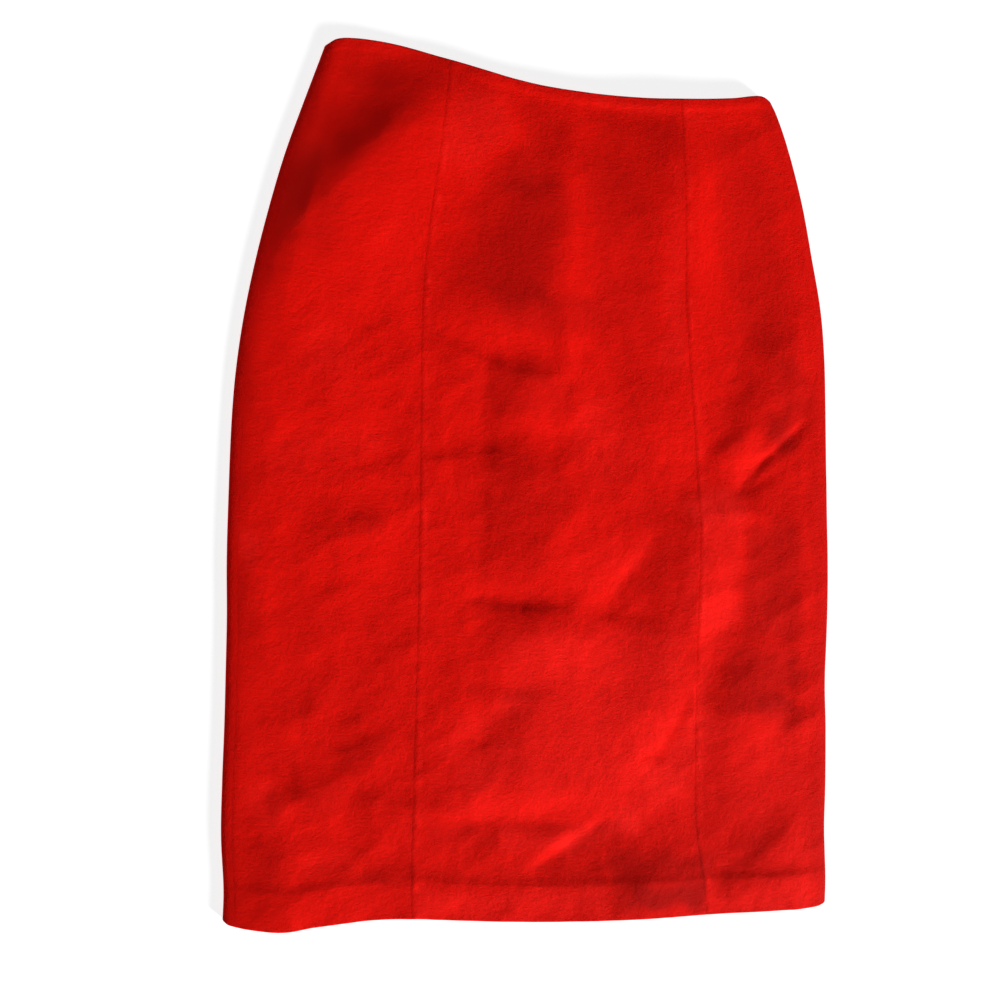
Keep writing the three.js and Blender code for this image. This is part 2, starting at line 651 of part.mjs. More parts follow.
const skirt = new THREE.Group();
skirt.add(frontCentre(frontRows));
skirt.add(frontSideLeft(frontRows));
skirt.add(frontSideRight(frontRows));
skirt.add(backLeft(backRows));
skirt.add(backRight(backRows));
skirt.add(zipTape('zip_tape_left', -1, zipHeights));
skirt.add(zipTape('zip_tape_right', 1, zipHeights));
skirt.add(zipSlider());
skirt.add(zipPull());

export default skirt;
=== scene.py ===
"""A pencil skirt lying flat with its front up, on a pale floor in soft studio light.

Shapes are worked out in millimetres on the frame's own axes and written to the meshes in metres. The origin
is on the table under the middle of the skirt, +Y points to the waist, +X to the right and +Z up.
"""
import math
from collections import namedtuple

import bmesh
import bpy
import numpy as np
from mathutils import Matrix, Vector


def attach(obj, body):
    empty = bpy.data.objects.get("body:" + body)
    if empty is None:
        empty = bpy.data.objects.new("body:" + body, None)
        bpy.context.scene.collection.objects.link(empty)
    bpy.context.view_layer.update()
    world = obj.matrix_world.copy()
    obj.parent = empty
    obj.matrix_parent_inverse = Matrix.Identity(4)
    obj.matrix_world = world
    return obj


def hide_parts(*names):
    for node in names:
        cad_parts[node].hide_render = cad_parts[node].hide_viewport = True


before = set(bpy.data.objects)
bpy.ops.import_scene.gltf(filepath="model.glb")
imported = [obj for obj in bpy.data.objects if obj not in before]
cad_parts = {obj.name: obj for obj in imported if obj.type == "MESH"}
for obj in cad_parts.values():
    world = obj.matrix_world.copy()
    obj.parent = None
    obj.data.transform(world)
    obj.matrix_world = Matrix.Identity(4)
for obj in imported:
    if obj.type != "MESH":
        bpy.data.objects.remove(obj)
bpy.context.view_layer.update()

MM = 0.001

# Cloth and lay, as in the solids
CLOTH = 1.2
FOLD_HEIGHT = 6.2
MID_HEIGHT = FOLD_HEIGHT / 2
TOP_TURN = 16.0
UNDER_TURN = 4.0
LAY_BLEND = 30.0
LAY_SINK = 0.5
LAYER_GAP = 0.7
SETTLE = 0.5
HEM_Y = -326.0
WAIST_Y = 318.0
HEM_TURN_UP = 29.0
WAIST_TURN_IN = 9.0
TURNED_CLOTH = 2.3
TURN_STEP = 1.0
EDGE_PLATEAU = 36.0
EDGE_BLEND = 150.0
BACK_RETREAT = 1.5
SIDE_SEAM_INSET = 8.0
RECESS_DEPTH = 2.35
RECESS_HALF = 13.0
RECESS_RAMP = 28.0
RECESS_END_Y = 264.0
RECESS_START_Y = 230.0
ZIP_NECK_Y = 295.0
PARTING = 0.75
PARTING_REACH = 6.0

# Where the left and right folds lie at each height
Side = namedtuple("Side", "y left right")
SIDES = [
    Side(-330, -233.6, 243.6),
    Side(-300, -233.8, 243.2),
    Side(-260, -237.4, 240.2),
    Side(-220, -238.4, 239.2),
    Side(-180, -238.7, 237.3),
    Side(-140, -239.5, 234.6),
    Side(-100, -240.5, 234.3),
    Side(-60, -242.4, 233.2),
    Side(-20, -243.2, 230.7),
    Side(40, -243.6, 226.6),
    Side(80, -242.2, 224.1),
    Side(120, -238.3, 221.1),
    Side(160, -232.1, 215.6),
    Side(200, -224.1, 206.1),
    Side(240, -214.6, 196.1),
    Side(280, -202.6, 183.1),
    Side(310, -193.2, 170.6),
    Side(330, -187.0, 158.6),
]

# Waist and hem lines of the front
Line = namedtuple("Line", "x y")
WAIST_LINE = [
    Line(-200, 318.5),
    Line(-189, 323.2),
    Line(-181, 328.0),
    Line(-168, 329.8),
    Line(-148, 329.7),
    Line(-128, 327.8),
    Line(-90, 321.2),
    Line(-50, 314.3),
    Line(-10, 310.8),
    Line(50, 311.4),
    Line(90, 314.8),
    Line(130, 320.6),
    Line(148, 324.8),
    Line(156, 325.4),
    Line(164, 322.4),
    Line(180, 316.0),
]
HEM_LINE = [
    Line(-245, -316.0),
    Line(-234, -321.4),
    Line(-229, -324.6),
    Line(-210, -328.4),
    Line(-190, -330.0),
    Line(-165, -327.0),
    Line(-110, -323.0),
    Line(-50, -326.4),
    Line(20, -329.3),
    Line(110, -328.0),
    Line(190, -326.0),
    Line(234, -323.8),
    Line(240, -322.4),
    Line(250, -318.0),
]

# Shaped seams of the front, and the centre back seam underneath
Seam = namedtuple("Seam", "y left right back")
SEAMS = [
    Seam(-330, -94.8, 140.5, -12.0),
    Seam(-300, -96.8, 135.5, -12.5),
    Seam(-250, -98.2, 127.4, -13.5),
    Seam(-200, -99.0, 124.2, -14.5),
    Seam(-100, -101.0, 120.4, -16.5),
    Seam(0, -104.0, 117.3, -17.5),
    Seam(100, -107.9, 105.2, -17.5),
    Seam(150, -108.9, 99.4, -17.0),
    Seam(200, -106.6, 95.4, -16.5),
    Seam(250, -101.8, 91.5, -16.0),
    Seam(330, -95.5, 85.0, -16.0),
]

# Folds and creases of the top layer, each a soft spindle from its start to its end, bowed to its left hand
# side by bow, highest at mid length, as wide as left and right say on either hand, and gone a fade past both
# ends. A negative height is a trough, and crest rounds its line.
Fold = namedtuple("Fold", "name x0 y0 x1 y1 bow height left right fade crest")
FOLDS = [
    Fold("corner slope", -68, 314, -222, 168, 0, 5.6, 110, 28, 60, 8),
    Fold("corner step", -98, 312, -204, 182, 0, 3.6, 70, 22, 26, 3),
    Fold("centre rise", -2, 134, -3, 300, 0, 4.4, 66, 48, 40, 2),
    Fold("right rise", 93, 216, 90, 314, 0, 5.0, 62, 60, 50, 3),
    Fold("right fall", 103, 84, 98, 260, 0, 2.9, 60, 26, 44, 3),
    Fold("upper press", -90, 137, 4, 143, 0, 4.2, 50, 40, 24, 2),
    Fold("upper step", -46, 88, -8, 86, 0, 4.6, 12, 50, 14, 2),
    Fold("upper tail", -92, 109, -46, 93, -2, 2.1, 6, 28, 12, 1.5),
    Fold("apron shoulder", 4, 54, 4, 134, 0, 2.4, 14, 38, 20, 3),
    Fold("mid right", 50, 64, 104, 62, 0, 1.6, 28, 40, 20, 4),
    Fold("left cheek", -68, 300, -44, 250, 0, 2.6, 16, 26, 24, 4),
    Fold("hip dent", 160, 117, 198, 108, 0, 2.6, 24, 80, 16, 3),
    Fold("right flank", 208, 110, 188, 250, 0, 1.2, 50, 18, 50, 5),
    Fold("pucker trough", 151, 12, 172, 37, 0, -3.3, 14, 5.5, 9, 1),
    Fold("pucker shoulder", 130, 34, 156, 58, 0, 1.3, 6, 12, 10, 2),
    Fold("pucker tip", 170, 34, 206, 68, 0, -1.7, 3, 6, 8, 1),
    Fold("pucker fan", 154, 8, 184, 27, 0, -1.6, 7, 6, 8, 1),
    Fold("pucker tail", 118, -12, 184, -14, 4, 1.2, 8, 12, 12, 2),
    Fold("left press", -240, -2, -100, 4, 0, 1.3, 18, 34, 24, 3),
    Fold("middle press", -66, 12, 4, 14, 0, 2.0, 22, 34, 16, 2),
    Fold("streak", -98, 20, -46, 28, 0, 1.0, 5, 14, 12, 1.5),
    Fold("centre block", 0, -70, 0, 22, 0, 4.4, 46, 74, 26, 2),
    Fold("block edge", -56, -62, -54, 12, 0, -0.8, 12, 12, 16, 1.5),
    Fold("left wrinkle", -182, -38, -124, -28, 0, 2.4, 14, 24, 16, 3),
    Fold("middle trough", -66, -80, 14, -83, 0, -2.4, 14, 7, 10, 1.8),
    Fold("trough right", 32, -86, 82, -94, 0, -1.4, 10, 8, 12, 1.5),
    Fold("wedge valley", 44, -84, 84, -30, 0, -1.7, 9, 18, 12, 1.5),
    Fold("seam fold", 123, -106, 119, 2, 0, 5.0, 38, 36, 12, 3),
    Fold("block side", 213, -176, 208, -12, 0, 0.9, 50, 14, 24, 3),
    Fold("apron ridge", -40, -112, 42, -108, 0, 2.8, 20, 42, 20, 4),
    Fold("apron trough", -56, -147, -4, -150, 0, -1.8, 18, 7, 12, 1.5),
    Fold("arc trough", -8, -160, -76, -212, -8, -1.8, 42, 14, 12, 1.5),
    Fold("arc shade", -14, -160, -20, -218, 0, 1.0, 16, 14, 14, 3),
    Fold("long crest", 118, -98, 62, -214, 6, 3.8, 28, 58, 30, 6),
    Fold("long trough", 116, -158, 82, -214, 6, -1.6, 12, 14, 12, 1.5),
    Fold("low press", -62, -249, 58, -254, 0, -2.6, 18, 9, 16, 1.5),
    Fold("low press ridge", -84, -226, 62, -228, 0, 3.6, 60, 22, 20, 4),
    Fold("block ridge", 138, -166, 188, -168, 0, 4.4, 56, 46, 16, 1.5),
    Fold("edge nick", 200, -180, 236, -166, 0, 1.5, 8, 16, 8, 1.5),
    Fold("hem crease", 56, -251, -12, -294, 0, -1.3, 9, 5, 10, 1),
    Fold("hem crease lip", 50, -244, -14, -284, 0, 0.8, 6, 12, 10, 1.5),
    Fold("hem edge", 46, -301, 124, -302, 0, 2.8, 25, 50, 32, 2),
    Fold("hem bowl", 72, -300, 130, -302, 0, 1.5, 26, 34, 20, 2),
    Fold("hem corner", 154, -312, 214, -256, 0, 3.8, 14, 56, 12, 2),
    Fold("right hem press", 178, -299, 234, -298, 0, 1.3, 6, 24, 12, 1.5),
    Fold("left crease", -152, -202, -116, -188, 0, 1.8, 11, 28, 12, 3),
    Fold("left low", -194, -234, -156, -224, 0, 2.2, 13, 22, 14, 3),
    Fold("left hem", -190, -334, -196, -246, 0, 3.0, 18, 28, 24, 3),
    Fold("left seam arc", -128, -236, -50, -248, 0, 1.8, 9, 22, 18, 2),
    Fold("left band", -230, -104, -222, -56, 0, 1.6, 11, 18, 18, 2),
    Fold("left press line", -170, -290, -80, -291, 0, 1.4, 8, 34, 20, 1.5),
    Fold("left light", -168, 92, -160, 46, 0, 1.4, 18, 30, 16, 5),
    Fold("left dark", -140, 110, -112, 84, 0, 1.2, 20, 14, 14, 4),
]

# The back's creases, lifted from the table by their height. They are plain: nothing of the back is shown.
BACK_FOLDS = [
    Fold("seat sweep", -196, 96, -58, 40, 10, 1.8, 16, 22, 30, 4),
    Fold("seat sweep right", 54, 52, 176, 112, 10, 1.7, 20, 15, 30, 4),
    Fold("zip drag", -34, 92, -118, 30, -6, 1.5, 10, 14, 18, 3),
    Fold("zip drag right", 6, 96, 82, 20, 6, 1.4, 14, 10, 18, 3),
    Fold("thigh fold", -176, -70, 44, -112, 12, 1.9, 18, 26, 36, 4),
    Fold("thigh fold right", 64, -66, 196, -34, -8, 1.5, 16, 20, 26, 4),
    Fold("knee sweep", -120, -206, 96, -172, -14, 1.7, 20, 20, 34, 4),
    Fold("knee crease", 104, -214, 186, -250, 6, 1.4, 9, 16, 18, 2),
    Fold("left hem drop", -178, -300, -160, -214, 4, 1.3, 14, 18, 26, 4),
    Fold("waist drop", -104, 286, -92, 196, -4, 1.3, 16, 20, 26, 4),
    Fold("waist drop right", 84, 284, 96, 190, 4, 1.3, 18, 16, 26, 4),
    Fold("table crease", -228, -142, -150, -158, 3, 1.2, 7, 12, 14, 1.5),
]
# Patches of painted shade that darken the cloth, or of painted light that lightens it where the depth is negative.
# Each is a rectangle turned by an angle in degrees, with its half sizes and the width of its soft edge.
Patch = namedtuple("Patch", "name x y half_x half_y turn edge depth")
PAINTED_SHADE_PATCHES = [
    Patch("upper shade", -40, 192, 37, 51, -8, 13, 0.17),
    Patch("upper shade top", -24, 262, 19, 31, -3, 10, 0.18),
    Patch("waist shade", 54, 258, 37, 44, 0, 16, 0.12),
    Patch("waist shade core", 29, 248, 20, 16, 10, 12, 0.13),
    Patch("centre shade", 50, 178, 38, 42, 0, 12, 0.07),
    Patch("step shade", -30, 92, 22, 8, -6, 5, 0.16),
    Patch("apron front", 6, -126, 50, 19, 0, 9, -0.12),
    Patch("waist corner", 76, 286, 12, 20, 8, 8, 0.08),
    Patch("right shade", 154, 204, 26, 112, 12, 13, 0.17),
    Patch("upper shade soft", -52, 180, 38, 44, -12, 24, 0.06),
    Patch("upper left light", -76, 268, 24, 32, -22, 13, -0.26),
    Patch("corner core", -158, 281, 17, 36, -36, 14, 0.15),
    Patch("fold pale", -202, 215, 11, 34, -20, 11, -0.20),
    Patch("arc light", -46, -174, 38, 8, 40, 7, -0.22),
    Patch("hip edge", 190, 66, 20, 15, 40, 8, 0.17),
    Patch("left low shade", -166, -180, 62, 128, 0, 26, 0.06),
    Patch("upper shade core", -28, 190, 25, 42, -10, 9, 0.10),
    Patch("upper top core", -29, 247, 14, 15, 20, 9, 0.08),
    Patch("wedge corner", 108, -12, 8, 5, 40, 4, 0.08),
    Patch("pucker light", 157, 33, 9, 22, -28, 7, -0.10),
    Patch("hem light right", 190, -314, 46, 9, 0, 5, -0.10),
    Patch("left pale", -150, 196, 30, 26, -20, 14, -0.06),
    Patch("left pale low", -142, 152, 28, 9, 4, 8, -0.05),
    Patch("left spot", -128, 92, 13, 9, 0, 7, 0.07),
    Patch("left pale mid", -164, 70, 13, 18, 20, 8, -0.06),
    Patch("press line", -112, 3, 100, 2.5, -1, 2.5, -0.06),
    Patch("thigh spot", -154, -34, 24, 9, 16, 6, 0.18),
    Patch("thigh pale", -150, -66, 26, 9, 6, 7, -0.08),
    Patch("fold spot", -228, -100, 7, 16, 12, 6, 0.08),
    Patch("knee spot", -176, -158, 20, 13, 24, 9, 0.07),
    Patch("knee pale", -146, -124, 22, 9, -12, 8, -0.05),
    Patch("crease spot", -138, -195, 18, 6, 24, 5, 0.12),
    Patch("crease spot low", -170, -226, 16, 5, 4, 5, 0.10),
    Patch("low pale", -142, -254, 24, 9, 0, 7, -0.07),
    Patch("hem spot", -200, -284, 11, 22, 6, 7, 0.10),
    Patch("hem line spot", -130, -290, 22, 5, 0, 4, 0.08),
    Patch("centre pale", 34, -54, 24, 14, 38, 9, -0.08),
    Patch("tail light", 132, -6, 26, 10, 4, 9, -0.34),
    Patch("seam strip light", 106, -94, 8, 52, -10, 8, -0.20),
    Patch("low strip light", 86, -236, 30, 9, 40, 8, -0.24),
    Patch("arc pale", -43, -208, 22, 12, 35, 8, -0.28),
    Patch("hem dark", 98, -312, 40, 9, 0, 6, 0.42),
    Patch("step low shade", -20, 73, 32, 15, 0, 9, 0.19),
    Patch("upper press shade", -12, 139, 42, 14, 0, 9, 0.19),
    Patch("pucker shade", 182, 58, 12, 17, 10, 7, 0.20),
    Patch("corner low", -183, 194, 12, 24, -15, 10, 0.13),
    Patch("left knee low", -164, -238, 13, 10, 0, 7, 0.13),
    Patch("low press shade", -60, -261, 28, 9, 0, 7, 0.16),
    Patch("apron end shade", -55, -147, 12, 10, 20, 7, 0.12),
    Patch("upper middle", 44, 158, 24, 78, 0, 20, 0.07),
    Patch("right seam light", 87, 186, 9, 86, 2, 8, -0.20),
    Patch("band light high", 132, -128, 16, 46, -4, 10, -0.20),
    Patch("band light mid", 116, -200, 18, 36, -33, 11, -0.34),
    Patch("band light low", 46, -262, 30, 8, 24, 7, -0.48),
    Patch("band dark", 103, -184, 4.5, 32, -33, 4, 0.30),
    Patch("corner top shade", -156, 308, 22, 12, -20, 8, 0.13),
    Patch("block end shade", 190, -168, 14, 12, 0, 8, 0.13),
    Patch("top edge shade", -48, 240, 12, 16, 0, 8, 0.12),
    Patch("step left shade", -64, 80, 14, 12, 0, 8, 0.12),
    Patch("left hem light", -160, -282, 20, 9, 10, 7, -0.20),
    Patch("waist light", 84, 303, 68, 7, 0, 6, -0.16),
    Patch("hem middle light", -6, -263, 24, 8, 0, 6, -0.30),
    Patch("left fold light", -205, -234, 12, 17, 16, 9, -0.24),
    Patch("left soft shade", -168, 208, 30, 44, -25, 18, 0.08),
    Patch("centre high pale", 34, 43, 22, 30, 25, 13, -0.16),
    Patch("hip pale", 154, 114, 12, 12, 0, 8, -0.18),
    Patch("fold light", -226, -50, 8, 15, 8, 7, -0.26),
    Patch("left middle pale", -174, 26, 44, 12, 6, 10, -0.12),
    Patch("left upper pale", -178, 100, 16, 18, 0, 10, -0.12),
    Patch("right corner light", 168, -283, 22, 7, 40, 6, -0.24),
    Patch("right fold light", 209, -148, 12, 7, 20, 6, -0.20),
    Patch("trough line", -22, -83, 46, 3.5, -5, 4, 0.13),
    Patch("wedge core", 92, -50, 7, 20, -27, 7, 0.10),
    Patch("streak light", 61, -56, 3.5, 26, -34, 4, -0.16),
    Patch("apron spot", 46, -116, 13, 4, 12, 4, 0.14),
    Patch("trough spot", 62, -94, 18, 4, -6, 4, 0.08),
    Patch("band edge", 86, -206, 15, 3, 34, 4, 0.14),
    Patch("right knee spot", 152, -236, 24, 7, 8, 7, 0.07),
    Patch("pucker spot", 140, 47, 9, 6, 0, 5, 0.14),
    Patch("hip band", 150, 78, 20, 12, 20, 9, 0.07),
    Patch("hip shade", 193, 96, 14, 20, 0, 9, 0.16),
    Patch("apron light", 22, 92, 18, 36, 0, 12, -0.03),
    Patch("middle shade", -22, 7, 30, 25, 0, 7, 0.12),
    Patch("left streak", -130, 15, 18, 7, 8, 7, 0.07),
    Patch("block shade", -32, -40, 28, 38, 0, 12, 0.05),
    Patch("right block", 182, -60, 25, 46, 4, 9, 0.22),
    Patch("right block low", 176, -142, 38, 27, -3, 9, 0.24),
    Patch("seam light", 136, -44, 18, 54, 3, 9, -0.28),
    Patch("low light", 0, -230, 78, 18, 0, 12, -0.12),
    Patch("low middle", 38, -160, 66, 60, 0, 20, -0.26),
    Patch("hem shade", 102, -289, 42, 13, 0, 8, 0.22),
    Patch("hem light", -10, -312, 84, 9, 0, 6, -0.24),
    Patch("hem shade left", -60, -291, 120, 4, 1, 4, 0.08),
    Patch("right low light", 190, -200, 40, 26, 0, 14, -0.05),
]
END_NARROWING = 0.45
TAPER_POWER = 1.5
FLANK_POWER = 1.4


def smooth(low, high, value):
    t = np.clip((value - low) / (high - low), 0, 1)
    return t * t * (3 - 2 * t)


def column(rows, at, key):
    """A smooth curve through one column of a table, as a function of another."""
    places = np.array([getattr(row, at) for row in rows], float)
    values = np.array([getattr(row, key) for row in rows], float)
    before = np.r_[0, np.arange(len(rows) - 1)]
    after = np.r_[np.arange(1, len(rows)), len(rows) - 1]
    slopes = (values[after] - values[before]) / (places[after] - places[before])

    def value(place):
        i = np.searchsorted(places[1:-1], place)
        span = places[i + 1] - places[i]
        t = np.clip((place - places[i]) / span, 0, 1)
        t2, t3 = t**2, t**3
        ends = (2 * t3 - 3 * t2 + 1) * values[i] + (3 * t2 - 2 * t3) * values[i + 1]
        return ends + span * ((t3 - 2 * t2 + t) * slopes[i] + (t3 - t2) * slopes[i + 1])

    return value


left_fold = column(SIDES, "y", "left")
right_fold = column(SIDES, "y", "right")
waist_line = column(WAIST_LINE, "x", "y")
hem_line = column(HEM_LINE, "x", "y")
seam_x = {name: column(SEAMS, "y", name) for name in ("left", "right", "back")}


def row_place(y, x, retreat=0.0):
    """Height along the table of the row that starts as y, at a place across it."""
    near_waist = smooth(WAIST_Y - EDGE_BLEND, WAIST_Y - EDGE_PLATEAU, y)
    near_hem = 1 - smooth(HEM_Y + EDGE_PLATEAU, HEM_Y + EDGE_BLEND, y)
    waist = waist_line(x) - WAIST_Y - retreat
    hem = hem_line(x) - HEM_Y + retreat
    return y + near_waist * waist + near_hem * hem


class Rows:
    """Lines round the tube, each at one distance between hem and waist, and where their folds lie."""

    def __init__(self, y):
        self.y = np.asarray(y, float)[:, None]
        self.left = left_fold(self.y)
        self.right = right_fold(self.y)
        for _ in range(4):
            self.left = left_fold(row_place(self.y, self.left))
            self.right = right_fold(row_place(self.y, self.right))

    def place(self, x, under=False):
        if not under:
            return row_place(self.y, x)
        inside = np.minimum(x - self.left, self.right - x) / LAY_BLEND
        return row_place(self.y, x, BACK_RETREAT * np.clip(inside, 0, 1))


def fold_height(fold, x, y):
    dx, dy = fold.x1 - fold.x0, fold.y1 - fold.y0
    length = math.hypot(dx, dy)
    dx, dy = dx / length, dy / length
    s = (x - fold.x0) * dx + (y - fold.y0) * dy
    part = np.clip(s / length, 0, 1)
    d = (y - fold.y0) * dx - (x - fold.x0) * dy - fold.bow * 4 * part * (1 - part)
    run = (s - length / 2) / (length / 2 + fold.fade)
    body = np.maximum(0, 1 - run**2)
    width = np.where(d > 0, fold.left, fold.right) * (END_NARROWING + (1 - END_NARROWING) * body)
    across = (np.hypot(d, fold.crest) - fold.crest) / width
    return fold.height * body**TAPER_POWER * np.exp(-(across**FLANK_POWER))


def relief(folds, x, y):
    return sum(fold_height(fold, x, y) for fold in folds)


# The outlines of the patches wander by a few millimetres
PAINTED_PATCH_DRIFT = 5.5
PAINTED_PATCH_DRIFT_SIZE = 15.0


# Painted shade, or painted light where negative, summed from all the patches at each place
def painted_patch_depth(x, y):
    total = 0
    x, y = x + PAINTED_PATCH_DRIFT * noise(x, y, PAINTED_PATCH_DRIFT_SIZE, 41), y + PAINTED_PATCH_DRIFT * noise(x, y, PAINTED_PATCH_DRIFT_SIZE, 42)
    for patch in PAINTED_SHADE_PATCHES:
        turn = math.radians(patch.turn)
        u = (x - patch.x) * math.cos(turn) + (y - patch.y) * math.sin(turn)
        v = (y - patch.y) * math.cos(turn) - (x - patch.x) * math.sin(turn)
        fade_u = 1 - smooth(patch.half_x - patch.edge, patch.half_x + patch.edge, np.abs(u))
        fade_v = 1 - smooth(patch.half_y - patch.edge, patch.half_y + patch.edge, np.abs(v))
        total = total + patch.depth * fade_u * fade_v
    return total


# Painted shade where the cloth turns round the right fold: broadly, and more so at the very edge
RIGHT_FOLD_SHADES = [(22.0, 6.0, 0.12), (6.0, 0.5, 0.34)]

# It also has painted shade along its seams, a little darker, and the front's seams have a painted highlight, a paler
# broken line, on their right
SEAM_SHADE = 0.15
SEAM_SHADE_REACH = 1.9
SEAM_SHADE_DRIFT = 0.5
SEAM_LIGHT = 0.23
SEAM_LIGHT_PLACE = 4.2
SEAM_LIGHT_REACH = 1.7


def fold_shade(x, y):
    inward = right_fold(y) - x
    return sum(depth * (1 - smooth(near, reach, inward)) for reach, near, depth in RIGHT_FOLD_SHADES)


def noise(x, y, size, seed):
    """Smooth lumps of about this size, between -1 and 1."""
    grid = np.random.RandomState(seed).uniform(-1, 1, (64, 64))
    turn = 0.6 + 1.7 * seed
    u = (x * math.cos(turn) - y * math.sin(turn)) / size
    v = (x * math.sin(turn) + y * math.cos(turn)) / size
    i, j = np.floor(u).astype(int), np.floor(v).astype(int)
    a, b = u - i, v - j
    a = a**3 * (a * (a * 6 - 15) + 10)
    b = b**3 * (b * (b * 6 - 15) + 10)
    low = grid[i % 64, j % 64] * (1 - a) + grid[(i + 1) % 64, j % 64] * a
    high = grid[i % 64, (j + 1) % 64] * (1 - a) + grid[(i + 1) % 64, (j + 1) % 64] * a
    return low * (1 - b) + high * b


def wall_thickness(y):
    hem = 1 - smooth(HEM_Y + HEM_TURN_UP - TURN_STEP, HEM_Y + HEM_TURN_UP + TURN_STEP, y)
    waist = smooth(WAIST_Y - WAIST_TURN_IN - TURN_STEP, WAIST_Y - WAIST_TURN_IN + TURN_STEP, y)
    return CLOTH + (TURNED_CLOTH - CLOTH) * np.maximum(hem, waist)


# Fine unevenness of the pressed cloth, as sizes, heights and seeds: soft lumps, and flat facets that meet in
# crisp shallow creases
LUMPS = [(17, 0.22, 12), (8, 0.12, 13)]
FACETS = [(54, 0.44, 51), (31, 0.30, 52), (19, 0.14, 53), (11, 0.06, 54)]
FACET_EDGE = 0.004
CALM_SHARE = 0.5
CALM_START_Y = 60.0
CALM_END_Y = 170.0

# The doubled cloth at the hem and the waist stands a little proud, with a soft step at its end
HEM_RAISE = 0.65
HEM_RAISE_END = 31.5
WAIST_RAISE = 0.8
RAISE_RAMP = 4.0


def edge_raise(x, y):
    from_hem, from_waist = y - HEM_Y, WAIST_Y - y
    hem = 1 - smooth(HEM_RAISE_END - RAISE_RAMP, HEM_RAISE_END + RAISE_RAMP, from_hem)
    waist = 1 - smooth(WAIST_TURN_IN - RAISE_RAMP, WAIST_TURN_IN + RAISE_RAMP, from_waist)
    return HEM_RAISE * hem + WAIST_RAISE * waist * smooth(-120, -50, x)


# Share of its relief that the cloth keeps right up to the right fold
RIGHT_FOLD_SHARE = 0.6


def lay_height(rows, x, y):
    """Height of the top layer away from the folds, never so low that it would meet the back."""
    kept = RIGHT_FOLD_SHARE + (1 - RIGHT_FOLD_SHARE) * smooth(0, LAY_BLEND, rows.right - x)
    inside = smooth(0, LAY_BLEND, x - rows.left) * kept
    height = FOLD_HEIGHT + inside * (relief(FOLDS, x, y) - LAY_SINK)
    lowest = 2 * wall_thickness(rows.y) + LAYER_GAP
    height = lowest + SETTLE * np.logaddexp(0, (height - lowest) / SETTLE)
    calm = 1 - (1 - CALM_SHARE) * smooth(CALM_START_Y, CALM_END_Y, y)
    lumps = sum(high * (1 + noise(x, y, size, seed)) for size, high, seed in LUMPS)
    facets = sum(high * 2 * (1 - np.sqrt(noise(x, y, size, seed) ** 2 + FACET_EDGE)) for size, high, seed in FACETS)
    return height + inside * (calm * (lumps + facets) + edge_raise(x, rows.y))


# The left fold is round at the hip and pressed flatter below, and the right fold is flat with a tight turn
LEFT_HIP_POWER = 1.7
LEFT_LOW_POWER = 2.5
RIGHT_POWER = 3.6


def turned(rows, x):
    """Share of its full height that the top layer has beside a fold."""
    power = LEFT_LOW_POWER + (LEFT_HIP_POWER - LEFT_LOW_POWER) * smooth(-80, 70, rows.y)
    left = 1 - (1 - np.clip((x - rows.left) / TOP_TURN, 0, 1)) ** power
    right = 1 - (1 - np.clip((rows.right - x) / TOP_TURN, 0, 1)) ** RIGHT_POWER
    return left ** (1 / power) * right ** (1 / RIGHT_POWER)


def under_height(rows, x, y):
    """The underside lies on the table, apart from the recess over the zip's pull and its own low creases."""
    across = 1 - smooth(RECESS_HALF, RECESS_HALF + RECESS_RAMP, np.abs(x - seam_x["back"](y)))
    recess = RECESS_DEPTH * across * smooth(RECESS_START_Y, RECESS_END_Y, y)
    room = np.maximum(0.05, lay_height(rows, x, y) - 2 * wall_thickness(rows.y) - 0.5)
    inside = smooth(UNDER_TURN + 4, LAY_BLEND, np.minimum(x - rows.left, rows.right - x))
    away = 1 - smooth(0, RECESS_DEPTH, recess)
    creases = np.maximum(0, relief(BACK_FOLDS, x, y)) + 0.12 * (1 + noise(x, y, 26, 31))
    return recess + inside * away * room * (1 - np.exp(-creases / room))


# Places round the tube: on the top, round a fold by an angle from the table's plane, or underneath
def top_points(rows, x):
    y = rows.place(x)
    return np.stack([x, y, MID_HEIGHT + (lay_height(rows, x, y) - MID_HEIGHT) * turned(rows, x)], -1)


def turn_points(rows, side, degrees):
    angle = np.radians(np.asarray(degrees, float))[None, :]
    d = np.where(angle > 0, TOP_TURN, UNDER_TURN) * (1 - np.cos(angle))
    x = rows.left + d if side == "left" else rows.right - d
    y = np.where(angle < 0, rows.place(x, True), rows.place(x))
    high = turned(rows, x) * (lay_height(rows, x, y) - MID_HEIGHT)
    return np.stack([x, y, MID_HEIGHT + np.where(angle > 0, high, MID_HEIGHT * np.sin(angle))], -1)


def under_points(rows, x):
    y = rows.place(x, True)
    return np.stack([x, y, under_height(rows, x, y)], -1)


def spread(start, end, step, near_start=(), near_end=()):
    """Places from start to end on each row: a few at set distances from the ends, even steps between them."""
    sign = np.sign(np.mean(end - start))
    low = [start + sign * d for d in near_start]
    high = [end - sign * d for d in reversed(near_end)]
    a = low[-1] if low else start
    b = high[0] if high else end
    count = max(2, round(float(np.max(np.abs(b - a))) / step))
    middle = [a + (b - a) * i / count for i in range(count + 1)]
    return np.hstack(low[:-1] + middle + high[1:])


# A seam is a narrow groove: both edges turn down into it, deeper here and shallower there
BESIDE_SEAM = (0.0, 0.35, 0.75, 1.2, 1.8, 2.6, 3.8)
SEAM_HALF_GAP = 0.04
GROOVE_DEPTH = 0.075
SIDE_GROOVE_DEPTH = 0.045
SIDE_GROOVE_ENDS = (-140, -60)
GROOVE_REACH = 0.95
GROOVE_POWER = 1.5
SEAM_FLOOR = 0.25


def seam_point(rows, name, side):
    y = rows.place(seam_x[name](rows.y), name == "back")
    return seam_x[name](y) + side * SEAM_HALF_GAP


